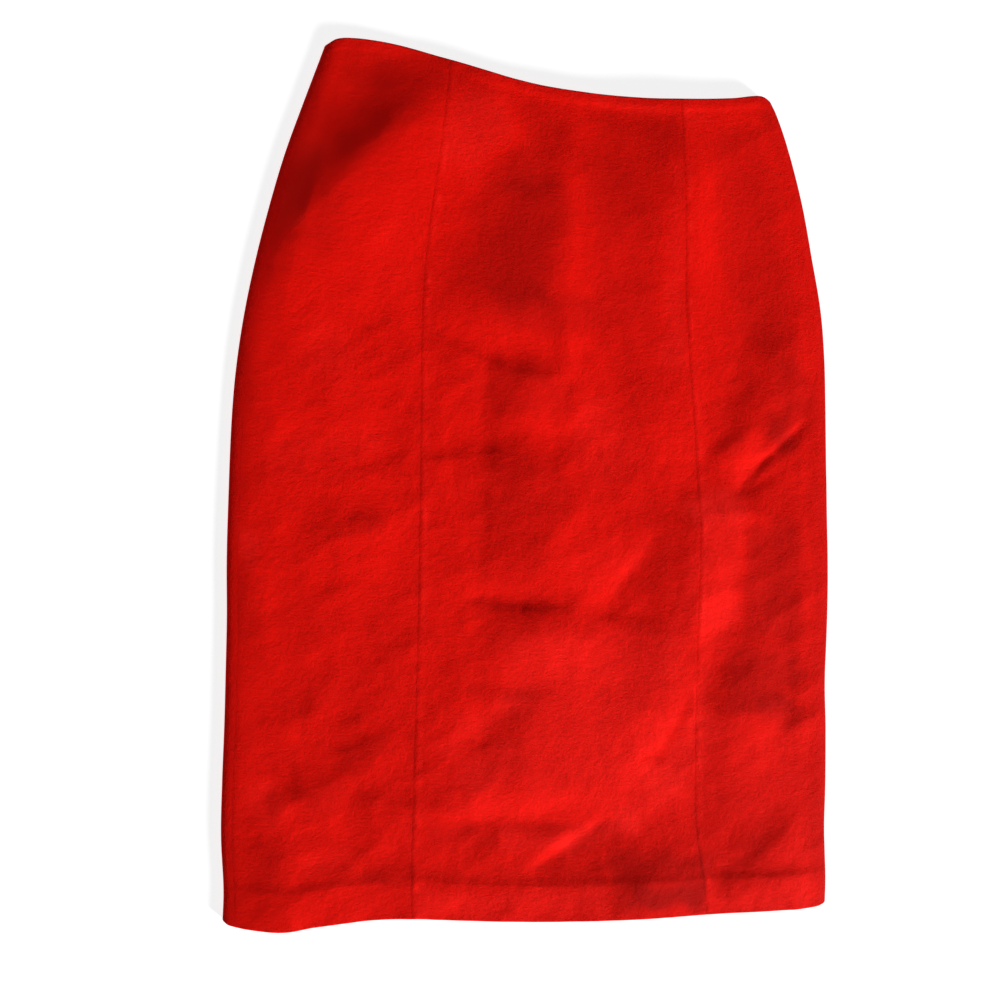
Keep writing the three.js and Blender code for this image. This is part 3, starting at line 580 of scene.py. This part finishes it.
def row_steps(step):
    """Rows from hem to waist, close together at both edges and at the turned edges' ends."""
    edge = [0.0, 0.12, 0.35, 0.7, 1.15, 1.8, 2.7, 4.0, 6.0]
    hem_end = [HEM_TURN_UP + d for d in (-3.0, -1.8, -0.9, 0.0, 0.9, 1.8, 3.0)]
    waist_end = [WAIST_TURN_IN + d for d in (-1.2, -0.4, 0.4, 1.2, 2.4)]
    from_hem = edge + list(np.linspace(6, hem_end[0], 9)[1:-1]) + hem_end
    from_waist = edge + waist_end
    low, high = HEM_Y + from_hem[-1], WAIST_Y - from_waist[-1]
    count = round((high - low) / step)
    middle = low + (high - low) * np.arange(1, count) / count
    return np.r_[[HEM_Y + d for d in from_hem], middle, [WAIST_Y - d for d in reversed(from_waist)]]


def normals_of(points):
    along = np.gradient(points, axis=1)
    up = np.gradient(points, axis=0)
    normal = np.cross(along, up)
    return normal / np.linalg.norm(normal, axis=-1, keepdims=True)


def side_groove(rows):
    return SIDE_GROOVE_DEPTH * (1 - smooth(*SIDE_GROOVE_ENDS, rows.y))


def groove(depth, distance, y, seed):
    uneven = 1 + 0.8 * noise(y, y * 0 + seed, 6, seed)
    return depth * uneven * np.exp(-((distance / GROOVE_REACH) ** GROOVE_POWER))


def seam_shade(y, walked, grooves, lit):
    """Painted shade beside both edges as far as they have a groove, and a painted highlight beside the first where
    lit is set.
    """
    lines = zip(grooves, (walked, walked[:, -1:] - walked))
    shade = sum(depth / GROOVE_DEPTH * np.exp(-((distance / SEAM_SHADE_REACH) ** 2)) for depth, distance in lines)
    shade = SEAM_SHADE * (1 + SEAM_SHADE_DRIFT * noise(y, y * 0 + 23, 18, 23)) * shade
    if lit:
        broken = np.maximum(0, 0.45 + noise(y, y * 0 + 24, 7, 24))
        shade = shade - SEAM_LIGHT * broken * np.exp(-(((walked - SEAM_LIGHT_PLACE) / SEAM_LIGHT_REACH) ** 2))
    return shade


def shell(name, rows, points, material, grooves, nap_and_painted_shade, lit):
    """A closed wall of cloth whose outer face runs through the points, with both its lips rounded."""
    normal = normals_of(points)
    steps = np.linalg.norm(np.diff(points, axis=1), axis=-1)
    walked = np.hstack([np.zeros((len(points), 1)), np.cumsum(steps, axis=1)])
    thick = np.broadcast_to(wall_thickness(rows.y), walked.shape)
    edge = np.minimum(rows.y - HEM_Y, WAIST_Y - rows.y)
    half = thick / 2
    lip = half - np.sqrt(np.maximum(0, half**2 - np.maximum(0, half - edge) ** 2))
    sunk = lip + groove(grooves[0], walked, points[..., 1], 21)
    sunk = sunk + groove(grooves[1], walked[:, -1:] - walked, points[..., 1], 22)
    inward = thick - lip
    sunk = np.minimum(sunk, np.maximum(inward - SEAM_FLOOR, lip))
    outer = points - normal * sunk[..., None]
    inner = points - normal * inward[..., None]

    count, across = walked.shape
    ring = np.concatenate([outer, inner[1:-1][::-1]], axis=0)
    size = len(ring)
    vertices = ring.transpose(1, 0, 2).reshape(-1, 3) * MM
    faces = []
    k = np.arange(across - 1)[:, None] * size
    i = np.arange(size)[None, :]
    nxt = (i + 1) % size
    quads = np.stack([k + i, k + size + i, k + size + nxt, k + nxt], -1).reshape(-1, 4)
    faces.extend(quads.tolist())
    mate = lambda row: (2 * count - 2 - row) % size
    for base, flip in ((0, False), ((across - 1) * size, True)):
        for row in range(count - 1):
            corners = [row, row + 1, mate(row + 1), mate(row)]
            corners = list(dict.fromkeys(corners))
            if flip:
                corners.reverse()
            faces.append([base + c for c in corners])
    mesh = bpy.data.meshes.new(name)
    mesh.from_pydata(vertices.tolist(), [], faces)
    mesh.validate()
    mesh.shade_smooth()
    ends = np.empty(2 * len(mesh.edges), np.int32)
    mesh.edges.foreach_get("vertices", ends)
    column_of = ends.reshape(-1, 2) // size
    capped = (column_of[:, 0] == column_of[:, 1]) & np.isin(column_of[:, 0], (0, across - 1))
    mesh.attributes.new("sharp_edge", "BOOLEAN", "EDGE").data.foreach_set("value", capped)
    wear = np.exp(-np.maximum(0, edge) / 2.5) * np.ones_like(walked)
    wear = np.concatenate([wear, wear[1:-1][::-1]], axis=0)
    # Painted shade and painted light for the colour: along the seams, round the right fold and, on the front, in
    # patches
    shade = seam_shade(points[..., 1], walked, grooves, lit)
    shade = np.concatenate([shade, shade[1:-1][::-1]], axis=0)
    shade = shade + fold_shade(ring[..., 0], ring[..., 1])
    if nap_and_painted_shade:
        shade = shade + painted_patch_depth(ring[..., 0], ring[..., 1])
    for key, values in (("wear", wear), ("nap_and_painted_shade", shade)):
        attribute = mesh.attributes.new(key, "FLOAT", "POINT")
        attribute.data.foreach_set("value", values.transpose(1, 0).ravel().astype(np.float32))
    mesh.materials.append(material)
    piece = bpy.data.objects.new(name, mesh)
    bpy.context.scene.collection.objects.link(piece)
    return piece


# Materials
def new_material(name, base, roughness, specular=0.12, metallic=0.0):
    material = bpy.data.materials.new(name)
    material.use_nodes = True
    shader = material.node_tree.nodes["Principled BSDF"]
    shader.inputs["Base Color"].default_value = (*base, 1)
    shader.inputs["Roughness"].default_value = roughness
    shader.inputs["Specular IOR Level"].default_value = specular
    shader.inputs["Metallic"].default_value = metallic
    return material, material.node_tree, shader


def node(tree, kind, **values):
    made = tree.nodes.new(kind)
    for key, value in values.items():
        if hasattr(made, key):
            setattr(made, key, value)
        else:
            made.inputs[key.replace("_", " ")].default_value = value
    return made


def millimetres(tree):
    """The piece's own coordinates in millimetres."""
    place = node(tree, "ShaderNodeTexCoord")
    scale = node(tree, "ShaderNodeVectorMath", operation="SCALE")
    scale.inputs["Scale"].default_value = 1 / MM
    tree.links.new(place.outputs["Object"], scale.inputs[0])
    return scale.outputs["Vector"]


def noise_node(tree, place, size, detail=2.0, roughness=0.5):
    made = node(tree, "ShaderNodeTexNoise", Scale=1 / size, Detail=detail, Roughness=roughness)
    tree.links.new(place, made.inputs["Vector"])
    return made.outputs["Fac"]


def math_node(tree, operation, a, b):
    made = node(tree, "ShaderNodeMath", operation=operation)
    for socket, value in zip(made.inputs, (a, b)):
        if isinstance(value, (int, float)):
            socket.default_value = value
        else:
            tree.links.new(value, socket)
    return made.outputs["Value"]


def mix_colour(tree, factor, a, b):
    made = node(tree, "ShaderNodeMix", data_type="RGBA")
    for socket, value in ((made.inputs[0], factor), (made.inputs[6], a), (made.inputs[7], b)):
        if isinstance(value, tuple):
            socket.default_value = (*value, 1)
        elif isinstance(value, (int, float)):
            socket.default_value = value
        else:
            tree.links.new(value, socket)
    return made.outputs[2]


def stretched(tree, place, along_x, along_y):
    made = node(tree, "ShaderNodeMapping")
    made.inputs["Scale"].default_value = (along_x, along_y, 1)
    tree.links.new(place, made.inputs["Vector"])
    return made.outputs["Vector"]


def twill(tree, place, pitch, slant):
    """Slanted ribs of the weave, a little irregular."""
    turned = node(tree, "ShaderNodeMapping")
    turned.inputs["Rotation"].default_value = (0, 0, math.radians(slant))
    tree.links.new(place, turned.inputs["Vector"])
    wave = node(tree, "ShaderNodeTexWave", wave_type="BANDS", bands_direction="X", Distortion=1.2, Detail=1.0)
    wave.inputs["Scale"].default_value = 2 * math.pi / (20 * pitch)
    wave.inputs["Detail Scale"].default_value = 2.0
    tree.links.new(turned.outputs["Vector"], wave.inputs["Vector"])
    return wave.outputs["Fac"]


def cloth_material():
    material, tree, shader = new_material("red twill", (0.62, 0.0034, 0.0011), 0.85, specular=0.03)
    shader.inputs["Sheen Weight"].default_value = 0.08
    shader.inputs["Sheen Roughness"].default_value = 0.45
    shader.inputs["Sheen Tint"].default_value = (1.0, 0.03, 0.02, 1)
    place = millimetres(tree)
    ribs = twill(tree, place, 0.9, 28)
    # Fine noise of the cloth's own fibre nap, not painted shade
    nap_and_painted_shade = noise_node(tree, place, 1.7, detail=3.0, roughness=0.6)
    tufts = noise_node(tree, place, 4.5, detail=2.0)
    patches = noise_node(tree, place, 38, detail=2.0)
    fibre = math_node(tree, "ADD", math_node(tree, "MULTIPLY", nap_and_painted_shade, 0.6), math_node(tree, "MULTIPLY", ribs, 0.4))
    deep, bright = (0.545, 0.0028, 0.0007), (0.70, 0.0044, 0.0016)
    colour = mix_colour(tree, fibre, deep, bright)
    aged = mix_colour(tree, patches, (0.585, 0.0031, 0.0009), (0.665, 0.0040, 0.0014))
    colour = mix_colour(tree, 0.4, colour, aged)
    wear = node(tree, "ShaderNodeAttribute", attribute_name="wear")
    worn = math_node(tree, "MULTIPLY", wear.outputs["Fac"], 0.35)
    colour = mix_colour(tree, worn, colour, (0.50, 0.005, 0.004))
    # Painted shade: the colour darkens towards black where the attribute is positive
    painted_shade_and_light = node(tree, "ShaderNodeAttribute", attribute_name="nap_and_painted_shade")
    colour = mix_colour(tree, math_node(tree, "MAXIMUM", painted_shade_and_light.outputs["Fac"], 0.0), colour, (0.0, 0.0, 0.0))
    # Painted light: the colour lightens towards pale red where the attribute is negative
    painted_light = math_node(tree, "MAXIMUM", math_node(tree, "MULTIPLY", painted_shade_and_light.outputs["Fac"], -1.0), 0.0)
    colour = mix_colour(tree, painted_light, colour, (1.0, 0.014, 0.010))
    tree.links.new(colour, shader.inputs["Base Color"])
    rough = math_node(tree, "ADD", math_node(tree, "MULTIPLY", tufts, 0.12), 0.76)
    tree.links.new(rough, shader.inputs["Roughness"])
    slubs = noise_node(tree, stretched(tree, place, 0.22, 1.0), 1.5, detail=2.0)
    grain = math_node(tree, "ADD", math_node(tree, "MULTIPLY", nap_and_painted_shade, 0.8), math_node(tree, "MULTIPLY", ribs, 0.2))
    grain = math_node(tree, "ADD", grain, math_node(tree, "MULTIPLY", tufts, 0.9))
    grain = math_node(tree, "ADD", grain, math_node(tree, "MULTIPLY", slubs, 0.4))
    bump = node(tree, "ShaderNodeBump", Strength=1.0, Distance=0.00036)
    tree.links.new(grain, bump.inputs["Height"])
    tree.links.new(bump.outputs["Normal"], shader.inputs["Normal"])
    return material


def tape_material():
    material, tree, shader = new_material("zip tape weave", (0.42, 0.006, 0.005), 0.85)
    place = millimetres(tree)
    ribs = twill(tree, place, 0.7, 90)
    fuzz = noise_node(tree, place, 0.9)
    colour = mix_colour(tree, ribs, (0.34, 0.004, 0.004), (0.46, 0.007, 0.006))
    colour = mix_colour(tree, math_node(tree, "MULTIPLY", fuzz, 0.3), colour, (0.5, 0.01, 0.009))
    tree.links.new(colour, shader.inputs["Base Color"])
    bump = node(tree, "ShaderNodeBump", Strength=0.8, Distance=0.00008)
    tree.links.new(ribs, bump.inputs["Height"])
    tree.links.new(bump.outputs["Normal"], shader.inputs["Normal"])
    return material


def coil_material():
    material, tree, shader = new_material("nylon coil", (0.40, 0.006, 0.005), 0.42, specular=0.4)
    flow = noise_node(tree, millimetres(tree), 1.1)
    tree.links.new(mix_colour(tree, flow, (0.34, 0.004, 0.004), (0.46, 0.008, 0.006)), shader.inputs["Base Color"])
    tree.links.new(math_node(tree, "ADD", math_node(tree, "MULTIPLY", flow, 0.2), 0.34), shader.inputs["Roughness"])
    return material


def enamel_material():
    material, tree, shader = new_material("red enamel", (0.42, 0.009, 0.007), 0.32, specular=0.5)
    shader.inputs["Coat Weight"].default_value = 0.3
    shader.inputs["Coat Roughness"].default_value = 0.12
    place = millimetres(tree)
    flow = noise_node(tree, place, 2.2)
    colour = mix_colour(tree, flow, (0.36, 0.007, 0.006), (0.48, 0.011, 0.008))
    tree.links.new(colour, shader.inputs["Base Color"])
    rough = math_node(tree, "ADD", math_node(tree, "MULTIPLY", flow, 0.2), 0.22)
    tree.links.new(rough, shader.inputs["Roughness"])
    return material


CLOTH_RED = cloth_material()
TAPE_RED = tape_material()
ENAMEL_RED = enamel_material()
COIL_RED = coil_material()

# The panels
FRONT_STEP = 2.0
BACK_STEP = 3.4
front_rows = Rows(row_steps(2.2))
back_rows = Rows(row_steps(3.4))

seam_inset = SIDE_SEAM_INSET + SEAM_HALF_GAP
left_side = top_points(
    front_rows,
    spread(front_rows.left + seam_inset, seam_point(front_rows, "left", -1), FRONT_STEP, BESIDE_SEAM, BESIDE_SEAM),
)
centre = top_points(
    front_rows,
    spread(seam_point(front_rows, "left", 1), seam_point(front_rows, "right", -1), FRONT_STEP, BESIDE_SEAM, BESIDE_SEAM),
)
right_top = spread(seam_point(front_rows, "right", 1), front_rows.right - 3.2, FRONT_STEP, BESIDE_SEAM)
turn_start = math.degrees(math.acos(1 - 3.2 / TOP_TURN))
right_side = np.hstack([
    top_points(front_rows, right_top),
    turn_points(front_rows, "right", np.linspace(turn_start, -90, 15)[1:]),
    under_points(front_rows, front_rows.right - np.array([[5.0, 6.2, 7.1, 7.96]])),
])
back_neck = PARTING * np.exp(-(((back_rows.place(seam_x["back"](back_rows.y), True) - ZIP_NECK_Y) / PARTING_REACH) ** 4))
right_back = under_points(
    back_rows,
    spread(back_rows.right - seam_inset, seam_point(back_rows, "back", 1) + back_neck, BACK_STEP, BESIDE_SEAM, BESIDE_SEAM),
)
left_end = math.degrees(math.acos(1 - (SIDE_SEAM_INSET - SEAM_HALF_GAP) / TOP_TURN))
left_back = np.hstack([
    under_points(
        back_rows,
        spread(seam_point(back_rows, "back", -1) - back_neck, back_rows.left + UNDER_TURN + 0.6, BACK_STEP, BESIDE_SEAM),
    ),
    turn_points(back_rows, "left", np.r_[np.linspace(-90, 30, 12), 38, 44, 49, 53, 56, 58, left_end]),
])

# Cut of what shows of each panel: width, length and area in metres and square metres
Cut = namedtuple("Cut", "node points rows grooves width length area rests")
CUTS = [
    Cut("front_centre", centre, front_rows, (GROOVE_DEPTH, GROOVE_DEPTH), 0.237, 0.650, 0.139, ("back_left_cloth", "back_right_cloth")),
    Cut("front_side_left", left_side, front_rows, (side_groove(front_rows), GROOVE_DEPTH), 0.136, 0.660, 0.081, ("back_left_cloth",)),
    Cut("front_side_right", right_side, front_rows, (GROOVE_DEPTH, GROOVE_DEPTH), 0.124, 0.655, 0.078, ("back_right_cloth",)),
    Cut("back_left", left_back, back_rows, (GROOVE_DEPTH, side_groove(back_rows)), 0.245, 0.655, 0.146, ("floor",)),
    Cut("back_right", right_back, back_rows, (GROOVE_DEPTH, GROOVE_DEPTH), 0.250, 0.655, 0.149, ("floor",)),
]
for cut in CUTS:
    # The front pieces get the painted shade and light patches; the centre and right front also a painted highlight
    # beside their seams
    nap_and_painted_shade = cut.node.startswith("front")
    lit = cut.node in ("front_centre", "front_side_right")
    piece = shell(cut.node + "_cloth", cut.rows, cut.points, CLOTH_RED, cut.grooves, nap_and_painted_shade, lit)
    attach(piece, "skirt")
    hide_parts(cut.node)

# The concealed zip inside the centre back seam
ZIP_BOTTOM_Y = 112.0
ZIP_TOP_Y = 298.4
TAPE_WIDTH = 11.0
TAPE_THICK = 0.4
TAPE_CLEARANCE = 0.25
COIL_PITCH = 1.3
COIL_WIRE = 0.27
COIL_WIDTH = 1.9
COIL_HEIGHT = 1.15
COIL_INSET = 4.0
COIL_OVERLAP = 0.3
SLIDER_HALF_WIDTH = 3.6
SLIDER_REACH = 7.0
SLIDER_PLATE = 0.6
NECK_THICK = 1.0
NECK_LENGTH = 3.8
NECK_LOW = 0.3
ARCH_HALF_LENGTH = 1.2
ARCH_LOW = 0.85
ARCH_HIGH = 2.05
PULL_LENGTH = 23.0
PULL_HALF_WIDTH = 2.3
PULL_THICK = 0.8
HEAD_HALF_WIDTH = 1.84
HINGE_Z = 1.45


def add_piece(name, vertices, faces, material, body="skirt", replaces=None):
    mesh = bpy.data.meshes.new(name)
    mesh.from_pydata((np.asarray(vertices) * MM).tolist(), [], faces)
    mesh.validate()
    mesh.materials.append(material)
    mesh.shade_smooth()
    piece = bpy.data.objects.new(name, mesh)
    bpy.context.scene.collection.objects.link(piece)
    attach(piece, body)
    if replaces:
        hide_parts(replaces)
    return piece


def tube(loops, closed=False):
    """Faces of a tube through equal loops, its ends joined or closed by caps, from its first vertex on."""
    count, size = len(loops), len(loops[0])
    faces = []
    for k in range(count if closed else count - 1):
        after = (k + 1) % count
        for i in range(size):
            j = (i + 1) % size
            faces.append([k * size + i, after * size + i, after * size + j, k * size + j])
    if not closed:
        faces.append(list(range(size)))
        faces.append([(count - 1) * size + i for i in reversed(range(size))])
    return faces


def tape_bed(x, y):
    """Height of the face that the tape lies on, inside the back."""
    rows = Rows(np.atleast_1d(y))
    return under_height(rows, np.full((len(rows.y), 1), x), rows.y)[:, 0] + CLOTH + TAPE_CLEARANCE


def zip_centre(y):
    return float(seam_x["back"](np.float64(y)))


def parting_at(y):
    return PARTING * math.exp(-(((y - ZIP_NECK_Y) / PARTING_REACH) ** 4))


def zip_tape(side):
    loops = []
    rim = [(0.0, 0.3), (0.12, 0.08), (0.3, 0.0), (0.7, 0.0), (1.0, 0.12), (1.0, 0.28), (0.7, 0.4), (0.3, 0.4)]
    for y in np.arange(ZIP_BOTTOM_Y, ZIP_TOP_Y + 0.1, 2.33):
        near = 0.15 + parting_at(y)
        bed = float(tape_bed(zip_centre(y) + side * TAPE_WIDTH / 2, y)[0])
        places = [near + (TAPE_WIDTH - near) * across for across, _ in rim]
        loops.append([(zip_centre(y) + side * d, y, bed + lift) for d, (_, lift) in zip(places, rim)])
    name = "zip_tape_left" if side < 0 else "zip_tape_right"
    piece = add_piece(name + "_weave", sum(loops, []), tube(loops), TAPE_RED, replaces=name)


def zip_coil(side):
    """Closed wire loops side by side along the edge of one tape."""
    vertices, faces = [], []
    for y in np.arange(ZIP_BOTTOM_Y + COIL_INSET, ZIP_NECK_Y - NECK_LENGTH / 2 - 0.6, COIL_PITCH):
        y += COIL_PITCH / 4 * side
        centre = zip_centre(y) + side * (COIL_WIDTH / 2 - COIL_OVERLAP + parting_at(y))
        bed = float(tape_bed(zip_centre(y), y)[0]) + TAPE_THICK + COIL_HEIGHT / 2 - 0.1
        loops = []
        for angle in np.linspace(0, 2 * math.pi, 14, endpoint=False):
            out = np.array([math.cos(angle), 0.0, math.sin(angle)])
            spot = np.array([
                centre + (COIL_WIDTH / 2 - COIL_WIRE) * out[0],
                y + 0.2 * math.sin(angle),
                bed + (COIL_HEIGHT / 2 - COIL_WIRE) * out[2],
            ])
            turns = np.linspace(0, 2 * math.pi, 6, endpoint=False)
            wire = [spot + COIL_WIRE * (math.cos(t) * out + math.sin(t) * np.array([0, 1, 0])) for t in turns]
            loops.append([tuple(point) for point in wire])
        base = len(vertices)
        vertices += sum(loops, [])
        faces += [[base + i for i in face] for face in tube(loops, closed=True)]
    name = "left" if side < 0 else "right"
    add_piece(f"zip_coil_{name}", vertices, faces, COIL_RED, replaces=f"zip_tape_{name}")


def plate(name, outlines, thick, bevel, place):
    """A flat plate with rounded rims, cut to closed outlines, the first one round the others."""
    curve = bpy.data.curves.new(name + "_outline", "CURVE")
    curve.dimensions = "2D"
    curve.fill_mode = "BOTH"
    curve.extrude = (thick / 2 - bevel) * MM
    curve.bevel_depth = bevel * MM
    curve.bevel_resolution = 3
    curve.offset = -bevel * MM
    for outline in outlines:
        spline = curve.splines.new("POLY")
        spline.points.add(len(outline) - 1)
        for point, (x, y) in zip(spline.points, outline):
            point.co = (x * MM, y * MM, 0, 1)
        spline.use_cyclic_u = True
    drawn = bpy.data.objects.new(name + "_outline", curve)
    bpy.context.scene.collection.objects.link(drawn)
    shape = bmesh.new()
    made = bpy.data.meshes.new_from_object(drawn.evaluated_get(bpy.context.evaluated_depsgraph_get()))
    shape.from_mesh(made)
    bpy.data.objects.remove(drawn)
    bpy.data.meshes.remove(made)
    bmesh.ops.remove_doubles(shape, verts=shape.verts, dist=1e-6)
    bmesh.ops.recalc_face_normals(shape, faces=shape.faces)
    bmesh.ops.transform(shape, matrix=place, verts=shape.verts)
    mesh = bpy.data.meshes.new(name)
    shape.to_mesh(mesh)
    shape.free()
    mesh.materials.append(ENAMEL_RED)
    piece = bpy.data.objects.new(name, mesh)
    bpy.context.scene.collection.objects.link(piece)
    return piece


def zip_slider():
    x = zip_centre(ZIP_NECK_Y)
    tape_top = RECESS_DEPTH + CLOTH + 0.3 + TAPE_THICK
    low, high = tape_top + 0.3, tape_top + 1.2 + 0.3 + SLIDER_PLATE
    flange = SLIDER_HALF_WIDTH - 0.5
    hood = [(-SLIDER_HALF_WIDTH, low), (-flange, low), (-flange, high - SLIDER_PLATE), (flange, high - SLIDER_PLATE)]
    hood += [(flange, low), (SLIDER_HALF_WIDTH, low), (SLIDER_HALF_WIDTH, high), (-SLIDER_HALF_WIDTH, high)]
    length = SLIDER_REACH + NECK_LENGTH / 2
    middle = ZIP_NECK_Y + (NECK_LENGTH / 2 - SLIDER_REACH) / 2
    upright = Matrix(((1, 0, 0), (0, 0, 1), (0, 1, 0))).to_4x4()
    body = plate("zip_slider_body", [hood], length, 0.12, Matrix.Translation((x * MM, middle * MM, 0)) @ upright)
    half = NECK_LENGTH / 2
    outer = [(-half, NECK_LOW + 0.4), (-half + 0.4, NECK_LOW), (half - 0.4, NECK_LOW), (half, NECK_LOW + 0.4)]
    outer += [(half, high - SLIDER_PLATE / 2), (-half, high - SLIDER_PLATE / 2)]
    reach = ARCH_HALF_LENGTH
    arch = [(-reach, ARCH_LOW), (reach, ARCH_LOW), (reach, ARCH_HIGH), (-reach, ARCH_HIGH)]
    sideways = Matrix(((0, 0, 1), (1, 0, 0), (0, 1, 0))).to_4x4()
    neck_place = Matrix.Translation((x * MM, ZIP_NECK_Y * MM, 0)) @ sideways
    neck = plate("zip_slider_neck", [outer, arch], NECK_THICK, 0.12, neck_place)
    for piece in (body, neck):
        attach(piece, "skirt")
        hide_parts("zip_slider")


def zip_pull():
    half, head = PULL_HALF_WIDTH, HEAD_HALF_WIDTH
    turns = np.radians(np.linspace(0, -180, 15))
    end = [(half * math.cos(t), -PULL_LENGTH + half + half * math.sin(t)) for t in turns]
    outline = [(-head, 0.0), (-head + 0.3, 0.3), (head - 0.3, 0.3), (head, 0.0), (head, -4.0)]
    outline += end + [(-head, -4.0)]
    eye = [(-0.85, -0.3), (-0.85, -2.9), (0.85, -2.9), (0.85, -0.3)]
    place = Matrix.Translation((zip_centre(ZIP_NECK_Y) * MM, ZIP_NECK_Y * MM, HINGE_Z * MM))
    piece = plate("zip_pull_enamel", [outline, eye], PULL_THICK, 0.16, place)
    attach(piece, "pull_tab")
    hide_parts("zip_pull")


for side in (-1, 1):
    zip_tape(side)
    zip_coil(side)
zip_slider()
zip_pull()

# Floor, light and camera
FLOOR_GLOW = 0.82
FLOOR_REACH = 30.0
floor_material, tree, shader = new_material("pale floor", (0.3, 0.3, 0.3), 0.9, specular=0.0)
shader.inputs["Emission Color"].default_value = (1, 1, 1, 1)
shader.inputs["Emission Strength"].default_value = FLOOR_GLOW
floor_mesh = bpy.data.meshes.new("floor")
corners = [(-FLOOR_REACH, -FLOOR_REACH, 0), (FLOOR_REACH, -FLOOR_REACH, 0)]
corners += [(FLOOR_REACH, FLOOR_REACH, 0), (-FLOOR_REACH, FLOOR_REACH, 0)]
floor_mesh.from_pydata([(x, y, -0.0002) for x, y, _ in corners], [], [(0, 1, 2, 3)])
floor_mesh.materials.append(floor_material)
floor = bpy.data.objects.new("floor", floor_mesh)
bpy.context.scene.collection.objects.link(floor)


def sun(name, elevation, azimuth, strength, angle):
    lamp = bpy.data.lights.new(name, "SUN")
    lamp.energy = strength
    lamp.angle = angle
    lamp_object = bpy.data.objects.new(name, lamp)
    level = math.cos(elevation)
    toward = Vector((level * math.cos(azimuth), level * math.sin(azimuth), math.sin(elevation)))
    lamp_object.rotation_euler = toward.to_track_quat("Z", "Y").to_euler()
    bpy.context.scene.collection.objects.link(lamp_object)


KEY_ELEVATION = math.radians(16)
KEY_AZIMUTH = math.radians(-38)
KEY_STRENGTH = 9.1
KEY_ANGLE = math.radians(12)
sun("key", KEY_ELEVATION, KEY_AZIMUTH, KEY_STRENGTH, KEY_ANGLE)
FILL_ELEVATION = math.radians(16)
FILL_AZIMUTH = math.radians(166)
FILL_STRENGTH = 0.65
FILL_ANGLE = math.radians(50)
sun("fill", FILL_ELEVATION, FILL_AZIMUTH, FILL_STRENGTH, FILL_ANGLE)

# The room is pale near the horizon and dimmer overhead
HORIZON = 1.3
OVERHEAD = 0.12
world = bpy.data.worlds.new("room")
bpy.context.scene.world = world
world.use_nodes = True
room = world.node_tree
room_place = node(room, "ShaderNodeTexCoord")
room_split = node(room, "ShaderNodeSeparateXYZ")
room.links.new(room_place.outputs["Generated"], room_split.inputs[0])
room_fade = node(room, "ShaderNodeMapRange", interpolation_type="SMOOTHSTEP")
for socket, value in (("From Min", 0.0), ("From Max", 0.22), ("To Min", HORIZON), ("To Max", OVERHEAD)):
    room_fade.inputs[socket].default_value = value
room.links.new(room_split.outputs["Z"], room_fade.inputs["Value"])
room.links.new(room_fade.outputs["Result"], room.nodes["Background"].inputs["Strength"])
room.nodes["Background"].inputs["Color"].default_value = (1, 1, 1, 1)

camera = bpy.data.cameras.new("camera")
camera.lens = 38.99
camera.sensor_width = 36.0
camera.clip_start, camera.clip_end = 0.01, 100.0
camera_object = bpy.data.objects.new("camera", camera)
right, up, back = (0.97860, 0.04652, 0.20043), (-0.04558, 0.99892, -0.00933), (-0.20065, 0.0, 0.97966)
camera_object.matrix_world = Matrix.Translation((-0.2079, -0.0060, 0.814)) @ Matrix((right, up, back)).transposed().to_4x4()
bpy.context.scene.collection.objects.link(camera_object)
bpy.context.scene.camera = camera_object
bpy.context.scene.view_settings.view_transform = "Standard"
